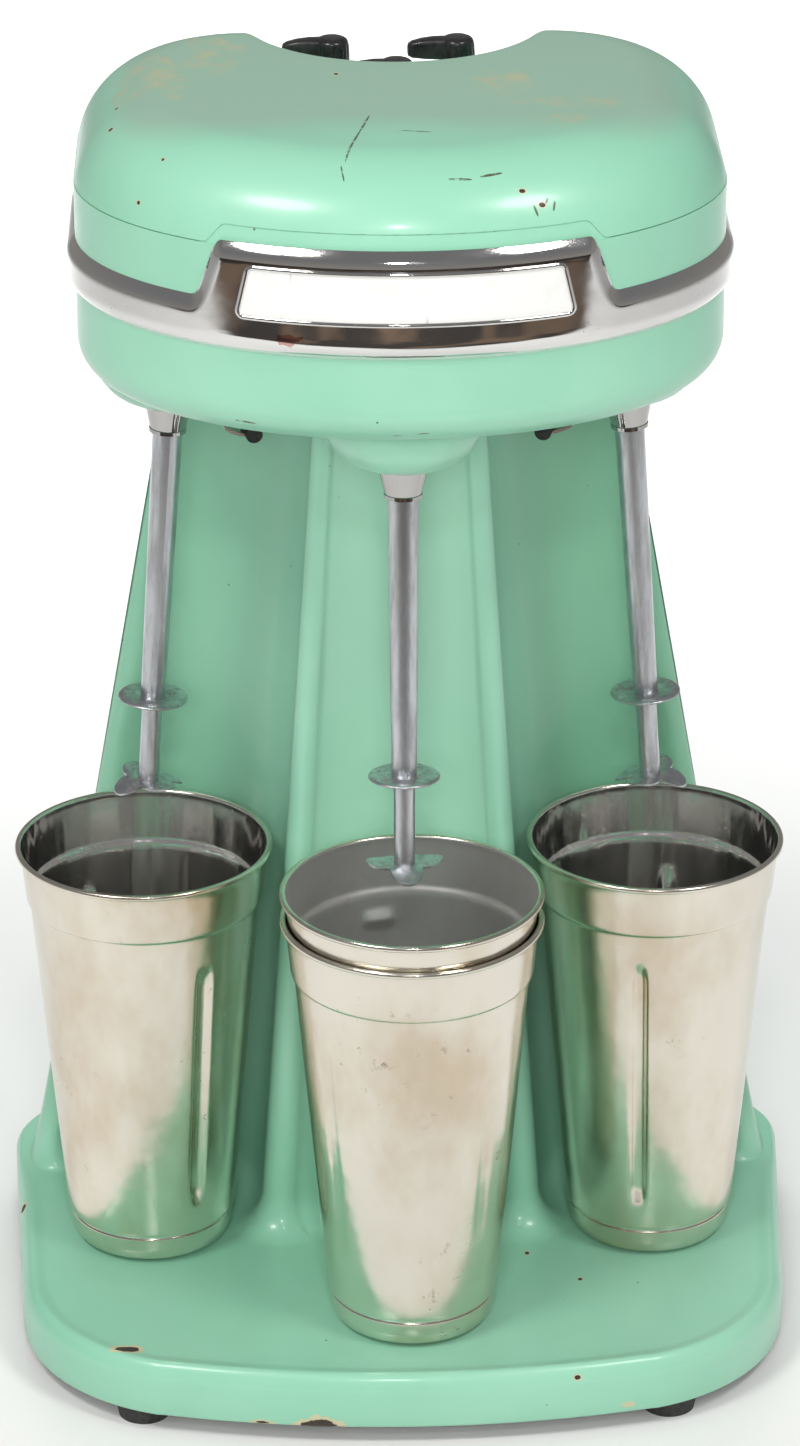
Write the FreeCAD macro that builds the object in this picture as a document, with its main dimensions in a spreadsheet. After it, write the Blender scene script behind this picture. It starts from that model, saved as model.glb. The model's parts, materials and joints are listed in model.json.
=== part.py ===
"""Three-spindle drink mixer: an enamelled stand with three motor-driven spindles and steel cups.

Frame: +Z up, X to the right, front towards -Y. The origin is under the middle of the
object's box, on the plane that the rubber feet stand on. Millimetres.
"""
import FreeCAD, Part
import math
import os
import Sketcher
from FreeCAD import Placement, Rotation, Vector

DOC = FreeCAD.newDocument("DrinkMixer")
SHEET = DOC.addObject("Spreadsheet::Sheet", "Sizes")
UP = Vector(0, 0, 1)
FORWARD = Vector(0, -1, 0)
NODES = []

# Driving dimensions. Each becomes a cell of the sheet, with its name as the alias.
DIMENSIONS = {
    # pressed base
    "deck_height": 30.0,
    "pan_bottom": 8.0,
    "base_half_depth": 123.5,
    "base_front_radius": 420.0,
    "base_front_half_width": 154.5,
    "base_rear_half_width": 168.0,
    "base_front_corner": 82.0,
    "base_rear_corner": 35.0,
    "base_edge_round": 6.0,
    "sheet_thickness": 1.6,
    "plate_gap": 0.4,
    "plate_level": 9.5,
    "plate_thickness": 1.5,
    # feet
    "foot_front_spread": 107.0,
    "foot_front_place": -94.0,
    "foot_rear_spread": 128.0,
    "foot_rear_place": 96.0,
    "foot_radius": 10.5,
    "foot_top_radius": 12.0,
    "foot_recess_radius": 5.2,
    "foot_recess_depth": 3.0,
    "foot_screw_radius": 2.0,
    "foot_screw_head": 4.4,
    "foot_screw_top": 16.0,
    # column
    "column_top": 426.0,
    "column_rear": 98.5,
    "column_foot_half_width": 157.0,
    "column_side_slope": 0.178,
    "flute_radius": 58.0,
    "flute_place": 11.5,
    "flute_foot_spread": 117.4,
    "flute_slope": 0.0714,
    "ridge_place": 3.5,
    "ridge_foot_spread": 44.0,
    "ridge_slope": 0.05,
    "ridge_nose": 3.0,
    "centre_flute_depth": 8.0,
    "column_edge_round": 8.0,
    "column_rear_round": 24.0,
    "column_flange": 14.0,
    "wire_hole_radius": 12.0,
    "wire_hole_place": 55.0,
    # back cover and cord outlet
    "back_cover_thickness": 1.2,
    "back_cover_margin": 2.0,
    "cord_level": 62.0,
    "cord_hole_radius": 7.0,
    "cord_bore_radius": 4.2,
    "bushing_flange_radius": 10.0,
    "bushing_length": 14.0,
    # head
    "head_half_width": 125.4,
    "head_front_reach": 94.0,
    "head_centre_place": -20.5,
    "head_rear_corner": 66.0,
    "housing_top": 503.0,
    "housing_wall": 3.0,
    "housing_round": 16.0,
    "cover_top": 534.0,
    "cover_wall": 2.0,
    "cover_round": 37.0,
    "seam_rise": 8.0,
    "tab_half_width": 74.0,
    "recess_radius": 59.0,
    "recess_place": 89.0,
    "recess_floor": 507.0,
    "recess_ledge": 6.0,
    "deck_thickness": 1.5,
    "side_screw_seat": 119.5,
    "side_screw_place": -6.5,
    "side_screw_level": 433.0,
    # trim
    "band_bottom": 462.5,
    "band_top": 482.0,
    "band_proud": 3.6,
    "hump_top": 505.5,
    "hump_top_half_width": 69.0,
    "hump_foot_half_width": 79.0,
    "badge_bottom": 476.5,
    "badge_top": 498.0,
    "badge_top_half_width": 59.6,
    "badge_foot_half_width": 64.1,
    "badge_thickness": 1.2,
    "badge_bead": 1.6,
    # spindle circle: three spindles lean outwards from it
    "circle_place": 35.7,
    "circle_radius": 94.2,
    "side_angle": 77.6,
    "spindle_lean": 4.1,
    "collar_level": 386.0,
    # one spindle, measured up its own axis from the tip
    "screw_head": 3.0,
    "screw_head_radius": 3.4,
    "screw_shank_radius": 1.5,
    "screw_length": 12.0,
    "agitator_radius": 15.5,
    "agitator_hub_radius": 6.0,
    "agitator_thickness": 0.8,
    "disc_level": 39.2,
    "disc_radius": 14.3,
    "disc_thickness": 0.8,
    "spindle_low_radius": 4.2,
    "spindle_mid_radius": 5.0,
    "spindle_top_radius": 6.0,
    "collar_bottom": 155.0,
    "collar_top": 168.0,
    "collar_low_radius": 7.3,
    "collar_high_radius": 9.8,
    "collar_bore_radius": 6.3,
    "shaft_start": 170.0,
    "shaft_radius": 4.0,
    "shaft_end": 270.0,
    "bearing_clearance": 0.05,
    "bearing_low": 172.0,
    "bearing_low_height": 14.0,
    "bearing_radius": 10.0,
    "boss_rim_level": 187.0,
    "boss_radius": 31.0,
    "boss_cavity_radius": 27.0,
    "boss_cavity_floor": 188.0,
    "boss_top": 206.0,
    "fan_level": 190.0,
    "fan_radius": 22.0,
    "fan_blade_height": 6.0,
    "stator_height": 32.0,
    "stator_radius": 28.0,
    "stator_bore_radius": 15.6,
    "armature_radius": 15.0,
    "commutator_level": 246.0,
    "commutator_radius": 9.0,
    "commutator_height": 10.0,
    "bridge_level": 261.0,
    "bridge_thickness": 2.5,
    "bridge_width": 20.0,
    "top_bearing_radius": 7.0,
    "top_bearing_level": 258.0,
    "top_bearing_height": 10.0,
    # cups, measured up from their own bottom
    "cup_height": 180.0,
    "cup_wall": 0.6,
    "cup_bead": 1.35,
    "cup_bead_centre": 51.45,
    "cup_band_top_radius": 50.6,
    "cup_band_low_radius": 48.6,
    "cup_band_low": 158.5,
    "cup_shoulder_level": 155.0,
    "cup_shoulder_radius": 47.2,
    "cup_groove_level": 14.5,
    "cup_groove_radius": 35.0,
    "cup_heel_radius": 33.6,
    "cup_heel_level": 6.5,
    "cup_sole_radius": 28.0,
    "cup_nest_rise": 11.5,
    "cup_gap": 0.05,
    "cup_centre_x": 3.0,
    "cup_centre_y": -66.3,
    "cup_left_x": -105.0,
    "cup_left_y": 5.8,
    "cup_right_x": 104.6,
    "cup_right_y": 6.8,
    "bumper_radius": 4.0,
    "bumper_height": 2.0,
    "bumper_level": 196.0,
    "bumper_spread": 70.0,
    # rotary switches and their knobs
    "switch_side_spread": 25.0,
    "switch_side_place": 79.0,
    "switch_centre_place": 49.0,
    "switch_radius": 10.0,
    "switch_depth": 16.0,
    "switch_neck_radius": 4.5,
    "nut_thickness": 2.5,
    "knob_stem_radius": 3.0,
    "knob_hub_radius": 7.2,
    "knob_low": 4.5,
    "knob_top": 21.5,
    "pointer_low": 12.0,
    "pointer_length": 20.0,
    "pointer_width": 8.0,
    # levers that the raised cups press
    "lever_pivot_level": 421.0,
    "lever_pivot_reach": 55.0,
    "lever_width": 7.0,
    "lever_thickness": 1.2,
    "lever_drop": 33.0,
    "lever_bend": 6.0,
    "lever_shoe_reach": 16.0,
    "lever_shoe_rise": 3.5,
    "lever_tail": 7.0,
    "lever_plunger_place": -5.0,
    "lever_eye_radius": 3.0,
    "lever_pin_radius": 1.5,
    "lever_ear_thickness": 1.5,
    "lever_tip_place": 5.0,
    "lever_tip_radius": 3.4,
    "lever_tip_width": 10.0,
}


def fill_sheet():
    """Writes every driving dimension into the sheet."""
    for row, (name, value) in enumerate(DIMENSIONS.items(), start=1):
        SHEET.set(f"A{row}", name)
        SHEET.set(f"B{row}", str(value))
        SHEET.setAlias(f"B{row}", name)
    DOC.recompute()


def size(name):
    """The sheet's value for one dimension."""
    return float(SHEET.get(name))


def worth(formula):
    """What a formula of sheet cells comes to."""
    return float(SHEET.evalExpression(formula))


def cell(formula):
    """A formula written with bare aliases, rewritten to name the sheet."""
    words = formula.replace("(", " ( ").replace(")", " ) ").split()
    return " ".join("Sizes." + w if w in DIMENSIONS else w for w in words)


def bind(feature, **formulas):
    """Ties properties of a feature to formulas of sheet cells."""
    for prop, formula in formulas.items():
        feature.setExpression(prop, cell(formula))
    return feature


def node(feature, label, placement=None):
    """Makes a feature a sub-part of its own: it is named and written out."""
    feature.Label = label
    if placement is not None:
        feature.Placement = placement
    NODES.append(feature)
    return feature


def shape_node(label, shape):
    """A sub-part whose shape comes from Part functions."""
    feature = DOC.addObject("Part::Feature", "Shaped_" + label)
    feature.Shape = shape
    feature.Placement = Placement()
    return node(feature, label)


def at(x, y, z):
    """A placement without rotation."""
    return Placement(Vector(x, y, z), Rotation())


# ---------------------------------------------------------------- turned parts


def origin_plane(body, role):
    """One of a body's own origin planes."""
    return next(f for f in body.Origin.OriginFeatures if f.Role == role)


def hold_point(sketch, line, radius, height):
    """Fixes the start of a line at a radius and a height given as formulas."""
    for kind, axis, formula in (("DistanceX", -2, radius), ("DistanceY", -1, height)):
        value = worth(cell(formula))
        if abs(value) < 1e-9:
            sketch.addConstraint(Sketcher.Constraint("PointOnObject", line, 1, axis))
            continue
        index = sketch.addConstraint(Sketcher.Constraint(kind, -1, 1, line, 1, value))
        sketch.setExpression(f"Constraints[{index}]", cell(formula))


def outline_sketch(body, name, corners):
    """A closed sketch on the body's XZ plane. Corners are pairs of formulas: radius, height."""
    sketch = body.newObject("Sketcher::SketchObject", name)
    sketch.AttachmentSupport = [(origin_plane(body, "XZ_Plane"), "")]
    sketch.MapMode = "FlatFace"
    points = [Vector(worth(cell(r)), worth(cell(z)), 0) for r, z in corners]
    count = len(points)
    for i in range(count):
        sketch.addGeometry(Part.LineSegment(points[i], points[(i + 1) % count]))
    for i in range(count):
        sketch.addConstraint(Sketcher.Constraint("Coincident", i, 2, (i + 1) % count, 1))
    for i, (radius, height) in enumerate(corners):
        hold_point(sketch, i, radius, height)
    return sketch


def spin(body, sketch):
    """Revolves a sketch once round the body's vertical axis."""
    turned = body.newObject("PartDesign::Revolution", "Turned_" + sketch.Name)
    turned.Profile = sketch
    turned.ReferenceAxis = (sketch, ["V_Axis"])
    turned.Angle = 360
    return turned


def turned_body(name, corners, placement=None):
    """A body turned from one closed outline."""
    body = DOC.addObject("PartDesign::Body", name)
    spin(body, outline_sketch(body, name + "_outline", corners))
    if placement is not None:
        body.Placement = placement
    return body


def tube(name, outer, inner, low, high, placement=None):
    """A turned sleeve between two radii and two heights, all formulas."""
    corners = [(inner, low), (outer, low), (outer, high), (inner, high)]
    return turned_body(name, corners, placement)


def group(label, features):
    """Several separate solids that share one sub-part."""
    gathered = DOC.addObject("Part::Compound", "Group_" + label)
    gathered.Links = features
    return node(gathered, label)


# ---------------------------------------------------------------- pressed base and column


def base_outline(inset):
    """The base's plan as a face at height 0, smaller all round by inset."""
    front = size("base_half_depth") - inset
    radius = size("base_front_radius") - inset
    front_half = size("base_front_half_width") - inset
    rear_half = size("base_rear_half_width") - inset
    corner_y = -front + radius - math.sqrt(radius**2 - front_half**2)
    left = Vector(-front_half, corner_y, 0)
    right = Vector(front_half, corner_y, 0)
    rear_right = Vector(rear_half, front, 0)
    rear_left = Vector(-rear_half, front, 0)
    edges = [
        Part.Arc(left, Vector(0, -front, 0), right).toShape(),
        Part.makeLine(right, rear_right),
        Part.makeLine(rear_right, rear_left),
        Part.makeLine(rear_left, left),
    ]
    return Part.Face(Part.Wire(edges))


def upright_edges(solid, at_front):
    """The upright corner edges of a prism, those at the front or those at the rear."""
    chosen = []
    for edge in solid.Edges:
        ends = [v.Point for v in edge.Vertexes]
        if len(ends) == 2 and abs(ends[0].z - ends[1].z) > 1 and (ends[0].y < 0) == at_front:
            chosen.append(edge)
    return chosen


def level_edges(solid, level):
    """The edges that lie at one height."""
    chosen = []
    for edge in solid.Edges:
        box = edge.BoundBox
        if abs(box.ZMin - level) < 1e-4 and abs(box.ZMax - level) < 1e-4:
            chosen.append(edge)
    return chosen


def base_block(inset, low, high):
    """The base's rounded block between two heights."""
    block = base_outline(inset).extrude(UP * (high - low))
    block.translate(UP * low)
    block = block.makeFillet(size("base_front_corner") - inset, upright_edges(block, True))
    return block.makeFillet(size("base_rear_corner") - inset, upright_edges(block, False))


def flute_point(centre_x, radius, x):
    """A point of a side flute's rear wall at a given x, seen from above."""
    return size("flute_place") + math.sqrt(radius**2 - (x - centre_x) ** 2)


def column_sides(level):
    """Half width of the column, spread of its side flutes and of its ridges, at a height."""
    above = level - size("deck_height")
    half = size("column_foot_half_width") - size("column_side_slope") * above
    flute = size("flute_foot_spread") - size("flute_slope") * above
    ridge = size("ridge_foot_spread") - size("ridge_slope") * above
    return half, flute, ridge


def column_section(level, inset):
    """The column's closed plan at a height, with its wall moved in by inset."""
    half, flute, ridge = column_sides(level)
    radius = size("flute_radius") + inset
    ridge_y = size("ridge_place") + inset
    rear = size("column_rear") - inset
    corner = size("column_edge_round")
    nose_y = ridge_y + 4
    nose_x = flute - math.sqrt(radius**2 - (nose_y - size("flute_place")) ** 2)
    edge_x = half - corner
    edge_y = flute_point(flute, radius, edge_x)
    side_x = half - inset
    turn = (side_x - edge_x) * (1 - math.sqrt(0.5))
    middle = 0.5 * (nose_x + edge_x)
    right = [
        Vector(ridge, ridge_y, level),
        Vector(0.5 * (ridge + nose_x), ridge_y - size("ridge_nose"), level),
        Vector(nose_x, nose_y, level),
        Vector(middle, flute_point(flute, radius, middle), level),
        Vector(edge_x, edge_y, level),
        Vector(side_x - turn, edge_y + turn, level),
        Vector(side_x, edge_y + side_x - edge_x, level),
        Vector(side_x, rear, level),
    ]
    left = [Vector(-p.x, p.y, p.z) for p in right]
    deep = Vector(0, size("ridge_place") + size("centre_flute_depth") + inset, level)
    edges = [Part.Arc(left[0], deep, right[0]).toShape()]
    for side in (right, left):
        edges.append(Part.Arc(side[0], side[1], side[2]).toShape())
        edges.append(Part.Arc(side[2], side[3], side[4]).toShape())
        edges.append(Part.Arc(side[4], side[5], side[6]).toShape())
        edges.append(Part.makeLine(side[6], side[7]))
    edges.append(Part.makeLine(right[7], left[7]))
    return Part.Wire(Part.__sortEdges__(edges))


def rear_corner_waste(side, inset, low, high):
    """What is taken off one of the column's rear edges to round it."""
    radius = size("column_rear_round") - inset
    rear = size("column_rear") - inset
    turn = radius * (1 - math.sqrt(0.5))
    wires = []
    for level in (low, high):
        half = column_sides(level)[0] - inset
        start = Vector(side * half, rear - radius, level)
        middle = Vector(side * (half - turn), rear - turn, level)
        end = Vector(side * (half - radius), rear, level)
        beyond = [end + Vector(0, 9, 0), Vector(side * (half + 9), rear + 9, level), start + Vector(side * 9, 0, 0)]
        edges = [Part.Arc(start, middle, end).toShape()]
        path = [end, *beyond, start]
        edges += [Part.makeLine(p, q) for p, q in zip(path, path[1:])]
        wires.append(Part.Wire(edges))
    return Part.makeLoft(wires, True, True)


def column_block(inset, low, high):
    """The column between two heights, as a solid through evenly spaced plans."""
    count = 5
    levels = [low + (high - low) * i / (count - 1) for i in range(count)]
    block = Part.makeLoft([column_section(level, inset) for level in levels], True, False)
    for side in (-1, 1):
        block = block.cut(rear_corner_waste(side, inset, low - 1, high + 1))
    return block


def column_window(margin, low, high, depth):
    """A tapered slab across the column's rear, narrower than the column by a margin each side."""
    rear = size("column_rear")
    wires = []
    for level in (low, high):
        half = column_sides(level)[0] - margin
        corners = [(-half, rear), (half, rear), (half, rear + depth), (-half, rear + depth)]
        points = [Vector(x, y, level) for x, y in corners]
        wires.append(Part.makePolygon(points + points[:1]))
    return Part.makeLoft(wires, True, True)


def make_base_and_column():
    """The one-piece enamelled pressing: a pan with a fluted hollow column rising from its deck."""
    wall = size("sheet_thickness")
    deck = size("deck_height")
    top = size("column_top")
    pan = base_block(0, size("pan_bottom"), deck)
    pan = pan.makeFillet(size("base_edge_round"), level_edges(pan, deck))
    hollow = base_block(wall, size("pan_bottom") - 1, deck - wall)
    hollow = hollow.makeFillet(size("base_edge_round") - wall, level_edges(hollow, deck - wall))
    void = column_block(wall, deck - wall - 2, top - wall)
    flange = size("column_flange")
    margin = flange + size("column_rear_round")
    window = column_window(margin, deck + flange, top - flange, -3 * wall)
    wires = wire_hole(top - 2 * wall, 3 * wall)
    solid = pan.cut(hollow).fuse(column_block(0, deck - 0.5 * wall, top))
    solid = solid.cut(void).cut(window).cut(wires)
    holes = [column_bolt_axis(x, y, top - 2 * wall, 3 * wall) for x, y in column_bolt_places()]
    holes += [back_screw_hole(p) for p in back_screw_places()]
    for hole in holes:
        solid = solid.cut(hole)
    shape_node("base_and_column", solid.removeSplitter())


def wire_hole(low, height):
    """The hole that the wiring passes through between head and column."""
    return Part.makeCylinder(size("wire_hole_radius"), height, Vector(0, size("wire_hole_place"), low))


def column_bolt_places():
    """Where the four bolts pass from the head down into the column's top."""
    return [(-18, 32), (18, 32), (-44, 72), (44, 72)]


def column_bolt_axis(x, y, low, height):
    """The clearance hole of one column bolt."""
    return Part.makeCylinder(3.2, height, Vector(x, y, low))


def back_screw_places():
    """The six screws down the back cover's two edges."""
    places = []
    for level in (60.0, 225.0, 390.0):
        reach = column_sides(level)[0] - size("column_rear_round") - 0.55 * size("column_flange")
        places += [(-reach, level), (reach, level)]
    return places


def back_screw_hole(place):
    """The hole of one back cover screw through the flange and the cover."""
    x, level = place
    return Part.makeCylinder(1.6, 12, Vector(x, size("column_rear") - 6, level), Vector(0, 1, 0))


def make_bottom_plate():
    """The flat sheet that closes the pan from below, with the holes for the foot screws."""
    low = size("plate_level")
    plate = base_block(size("sheet_thickness") + size("plate_gap"), low, low + size("plate_thickness"))
    for x, y in foot_places():
        plate = plate.cut(Part.makeCylinder(size("foot_screw_radius") + 0.1, 10, Vector(x, y, low - 2)))
    shape_node("base_bottom_plate", plate)


def make_back_cover():
    """The flat panel over the column's open back, with the cord's hole."""
    margin = size("back_cover_margin") + size("column_rear_round")
    low = size("deck_height") + 1
    panel = column_window(margin, low, size("column_top") - 2, size("back_cover_thickness"))
    start = Vector(0, size("column_rear") - 6, size("cord_level"))
    panel = panel.cut(Part.makeCylinder(size("cord_hole_radius"), 12, start, Vector(0, 1, 0)))
    for place in back_screw_places():
        panel = panel.cut(back_screw_hole(place))
    shape_node("column_back_cover", panel)


def make_cord_bushing():
    """The grommet that the power cord would leave by."""
    corners = [
        ("cord_bore_radius", "0"),
        ("bushing_flange_radius", "0"),
        ("bushing_flange_radius - 1", "3"),
        ("cord_hole_radius", "3"),
        ("cord_hole_radius", "3 + back_cover_thickness"),
        ("cord_hole_radius + 1.2", "3 + back_cover_thickness"),
        ("cord_hole_radius", "bushing_length"),
        ("cord_bore_radius", "bushing_length"),
    ]
    outward = size("column_rear") + size("back_cover_thickness") + 3
    place = Placement(Vector(0, outward, size("cord_level")), Rotation(Vector(1, 0, 0), 90))
    node(turned_body("CordBushing", corners, place), "cord_bushing")


# ---------------------------------------------------------------- feet and fasteners


def foot_places():
    """The four feet, seen from above."""
    front = (size("foot_front_spread"), size("foot_front_place"))
    rear = (size("foot_rear_spread"), size("foot_rear_place"))
    return [(side * x, y) for x, y in (front, rear) for side in (-1, 1)]


def make_feet():
    """Four tapered rubber feet, each with a recess for its screw head."""
    corners = [
        ("foot_recess_radius", "0"),
        ("foot_radius", "0"),
        ("foot_top_radius", "plate_level"),
        ("foot_screw_radius + 0.1", "plate_level"),
        ("foot_screw_radius + 0.1", "foot_recess_depth"),
        ("foot_recess_radius", "foot_recess_depth"),
    ]
    feet = [turned_body(f"Foot{i}", corners, at(x, y, 0)) for i, (x, y) in enumerate(foot_places())]
    group("rubber_feet", feet)


def make_foot_screws():
    """The screws that hold the feet to the bottom plate."""
    corners = [
        ("0", "1"),
        ("foot_screw_head", "1"),
        ("foot_screw_head", "foot_recess_depth"),
        ("foot_screw_radius", "foot_recess_depth"),
        ("foot_screw_radius", "foot_screw_top"),
        ("0", "foot_screw_top"),
    ]
    screws = [turned_body(f"FootScrew{i}", corners, at(x, y, 0)) for i, (x, y) in enumerate(foot_places())]
    group("foot_screws", screws)


def small_screw(name, placement):
    """A pan head screw: its head stands on the local plane, its shank points down."""
    shank = [("0", "0"), ("1.5", "0"), ("1.5", "7")]
    head = [("3", "7"), ("3", "8.4"), ("2.2", "9.2"), ("0", "9.2")]
    return turned_body(name, shank + head, placement * at(0, 0, -7))


def make_small_screws():
    """The screws of the back cover and of the switch deck."""
    face = size("column_rear") + size("back_cover_thickness")
    outward = Rotation(Vector(1, 0, 0), -90)
    screws = []
    for i, (x, level) in enumerate(back_screw_places()):
        screws.append(small_screw(f"BackScrew{i}", Placement(Vector(x, face, level), outward)))
    for i, (x, y) in enumerate(deck_screw_places()):
        screws.append(small_screw(f"DeckScrew{i}", at(x, y, size("recess_floor"))))
    group("pan_head_screws", screws)


def make_column_bolts():
    """Hexagon bolts that hold the head to the column."""
    bolts = []
    for i, (x, y) in enumerate(column_bolt_places()):
        floor = size("column_top") + size("housing_wall")
        head = DOC.addObject("Part::Prism", f"BoltHead{i}")
        head.Polygon = 6
        head.Circumradius = 5.8
        head.Height = 4
        head.Placement = at(x, y, floor)
        shank = DOC.addObject("Part::Cylinder", f"BoltShank{i}")
        shank.Radius = 3
        shank.Height = 16
        shank.Placement = at(x, y, floor - 16)
        bolt = DOC.addObject("Part::Fuse", f"Bolt{i}")
        bolt.Base = head
        bolt.Tool = shank
        bolts.append(bolt)
    group("column_bolts", bolts)


# ---------------------------------------------------------------- head


def head_outline(grow):
    """The head's plan as a face at height 0: an elliptical front, straight sides, rounded rear corners."""
    half = size("head_half_width") + grow
    reach = size("head_front_reach") + grow
    middle = size("head_centre_place")
    corner = size("head_rear_corner") + grow
    rear = size("column_rear") + grow
    front = Part.Ellipse(Vector(0, middle, 0), half, reach)
    diagonal = corner * (1 - math.sqrt(0.5))
    side_end = Vector(half, rear - corner, 0)
    rear_end = Vector(half - corner, rear, 0)
    turn = Vector(half - diagonal, rear - diagonal, 0)
    flip = [Vector(-p.x, p.y, 0) for p in (side_end, turn, rear_end)]
    edges = [
        front.toShape(math.pi, 2 * math.pi),
        Part.makeLine(Vector(half, middle, 0), side_end),
        Part.Arc(side_end, turn, rear_end).toShape(),
        Part.makeLine(rear_end, flip[2]),
        Part.Arc(flip[2], flip[1], flip[0]).toShape(),
        Part.makeLine(flip[0], Vector(-half, middle, 0)),
    ]
    return Part.Face(Part.Wire(edges))


def head_block(grow, low, high):
    """The head's plan raised between two heights."""
    block = head_outline(grow).extrude(UP * (high - low))
    block.translate(UP * low)
    return block


def dome_block(inset):
    """The rounded upper part of the head, moved in by inset. It starts just under the roll of its edge."""
    top = size("cover_top") - inset
    radius = size("cover_round") - inset
    block = head_block(-inset, top - radius - 1, top)
    return block.makeFillet(radius, level_edges(block, top))


def front_prism(corners):
    """A prism that runs from the head's middle to well in front of it. Corners are x and z pairs."""
    points = [Vector(x, size("head_centre_place") - 40, z) for x, z in corners]
    return Part.Face(Part.makePolygon(points + points[:1])).extrude(FORWARD * 80)


def symmetric(low_half, low, high_half, high):
    """The four corners of a trapezium that is symmetric about x = 0."""
    return [(-low_half, low), (low_half, low), (high_half, high), (-high_half, high)]


def spindle_frame(angle):
    """Where one spindle's own frame lies: origin at its tip, +Z up its axis."""
    about = Placement(Vector(0, size("circle_place"), 0), Rotation(UP, angle))
    tilt = Rotation(Vector(1, 0, 0), -size("spindle_lean"))
    collar = Placement(Vector(0, -size("circle_radius"), size("collar_level")), tilt)
    return about * collar * at(0, 0, -size("collar_bottom"))


def spindle_frames():
    """The three spindles, left to right."""
    side = size("side_angle")
    return {"left": spindle_frame(-side), "centre": spindle_frame(0), "right": spindle_frame(side)}


def placed(shape, placement):
    """A copy of a shape, moved by a placement."""
    moved = shape.copy()
    moved.Placement = placement * shape.Placement
    return moved


def bowl_shape():
    """One motor boss: a bowl under the head, flat where the collar seats."""
    low = size("collar_top")
    rim = size("boss_rim_level")
    wide = size("boss_radius")
    seat = size("collar_high_radius") + 2
    bend = Vector(wide - 0.3 * (wide - seat), 0, low + 0.3 * (rim - low))
    edges = [
        Part.makeLine(Vector(0, 0, low), Vector(seat, 0, low)),
        Part.Arc(Vector(seat, 0, low), bend, Vector(wide, 0, rim)).toShape(),
        Part.makeLine(Vector(wide, 0, rim), Vector(wide, 0, size("boss_top"))),
        Part.makeLine(Vector(wide, 0, size("boss_top")), Vector(0, 0, size("boss_top"))),
        Part.makeLine(Vector(0, 0, size("boss_top")), Vector(0, 0, low)),
    ]
    return Part.Face(Part.Wire(edges)).revolve(Vector(0, 0, 0), UP, 360)


def boss_void():
    """What is hollow in a motor boss: the fan's chamber, the bearing's seat and the spindle's hole."""
    top = size("boss_top")
    floor = size("boss_cavity_floor")
    chamber = Part.makeCylinder(size("boss_cavity_radius"), top + 1 - floor, Vector(0, 0, floor))
    low = size("bearing_low")
    seat = Part.makeCylinder(size("bearing_radius"), floor - low, Vector(0, 0, low))
    hole = Part.makeCylinder(size("collar_bore_radius"), 10, Vector(0, 0, size("collar_top") - 2))
    return chamber.fuse(seat).fuse(hole)


def make_lower_housing():
    """The cast lower half of the head, with three leaning motor bosses."""
    wall = size("housing_wall")
    bottom = size("column_top")
    top = size("housing_top")
    outer = head_block(0, bottom, top)
    outer = outer.makeFillet(size("housing_round"), level_edges(outer, bottom))
    inner = head_block(-wall, bottom + wall, top + 1)
    inner = inner.makeFillet(size("housing_round") - wall, level_edges(inner, bottom + wall))
    tab_top = top + size("seam_rise") - 0.2
    half = size("tab_half_width") - 0.3
    tab = dome_block(0).cut(dome_block(size("cover_wall")))
    tab = tab.common(front_prism(symmetric(half + 3, top - 1, half - 3, tab_top)))
    shell = outer.cut(inner).fuse(tab)
    for frame in spindle_frames().values():
        shell = shell.fuse(placed(bowl_shape(), frame))
    for frame in spindle_frames().values():
        shell = shell.cut(placed(boss_void(), frame))
    for x, y in column_bolt_places():
        shell = shell.cut(Part.makeCylinder(3.2, 3 * wall, Vector(x, y, bottom - wall)))
    shell = shell.cut(wire_hole(bottom - wall, 3 * wall))
    plunger_hole = Part.makeCylinder(1.6, 7, Vector(size("lever_plunger_place"), 0, 3))
    for frame in lever_frames().values():
        shell = shell.cut(placed(plunger_hole, frame))
        for ear in lever_ears():
            shell = shell.fuse(placed(ear, frame))
    for side in (-1, 1):
        shell = shell.cut(side_screw_hole(side))
    shape_node("lower_housing", shell.removeSplitter())


def recess_block(radius, low, rear):
    """The U-shaped space cut down into the cover's top rear."""
    height = 60
    middle = size("recess_place")
    round_end = Part.makeCylinder(radius, height, Vector(0, middle, low))
    straight = Part.makeBox(2 * radius, rear - middle, height, Vector(-radius, middle, low))
    corner = Vector(-2 * radius, middle - 2 * radius, low)
    limit = Part.makeBox(4 * radius, 2 * radius + rear - middle, height, corner)
    return round_end.fuse(straight).common(limit).removeSplitter()


def make_top_cover():
    """The domed cover over the motors, with the horseshoe recess for the switches."""
    wall = size("cover_wall")
    low = size("housing_top")
    floor = size("recess_floor") - size("deck_thickness")
    radius = size("recess_radius")
    rear = size("column_rear")
    above_seam = Part.makeBox(400, 400, 100, Vector(-200, -200, low))
    outer = dome_block(0).common(above_seam)
    inner = dome_block(wall).cut(recess_block(radius + wall, floor - wall, rear + 10))
    dome = outer.cut(inner).cut(recess_block(radius, floor, rear + 10))
    ledge = size("recess_ledge")
    dome = dome.cut(recess_block(radius - ledge, floor - 10, rear - wall - ledge))
    half = size("tab_half_width")
    notch = front_prism(symmetric(half + 3, low - 1, half - 3, low + size("seam_rise")))
    dome = dome.cut(notch)
    for x, y in deck_screw_places():
        dome = dome.cut(Part.makeCylinder(1.6, 10, Vector(x, y, floor - 6)))
    shape_node("top_cover", dome)


def deck_screw_places():
    """Three screws near the rim of the switch deck."""
    reach = size("recess_radius") - 3.2
    middle = size("recess_place")
    angles = [math.radians(a) for a in (180, 270, 360)]
    return [(reach * math.cos(a), middle + reach * math.sin(a)) for a in angles]


def switch_places():
    """The three rotary switches, seen from above."""
    spread = size("switch_side_spread")
    place = size("switch_side_place")
    return {"left": (-spread, place), "centre": (0, size("switch_centre_place")), "right": (spread, place)}


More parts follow.
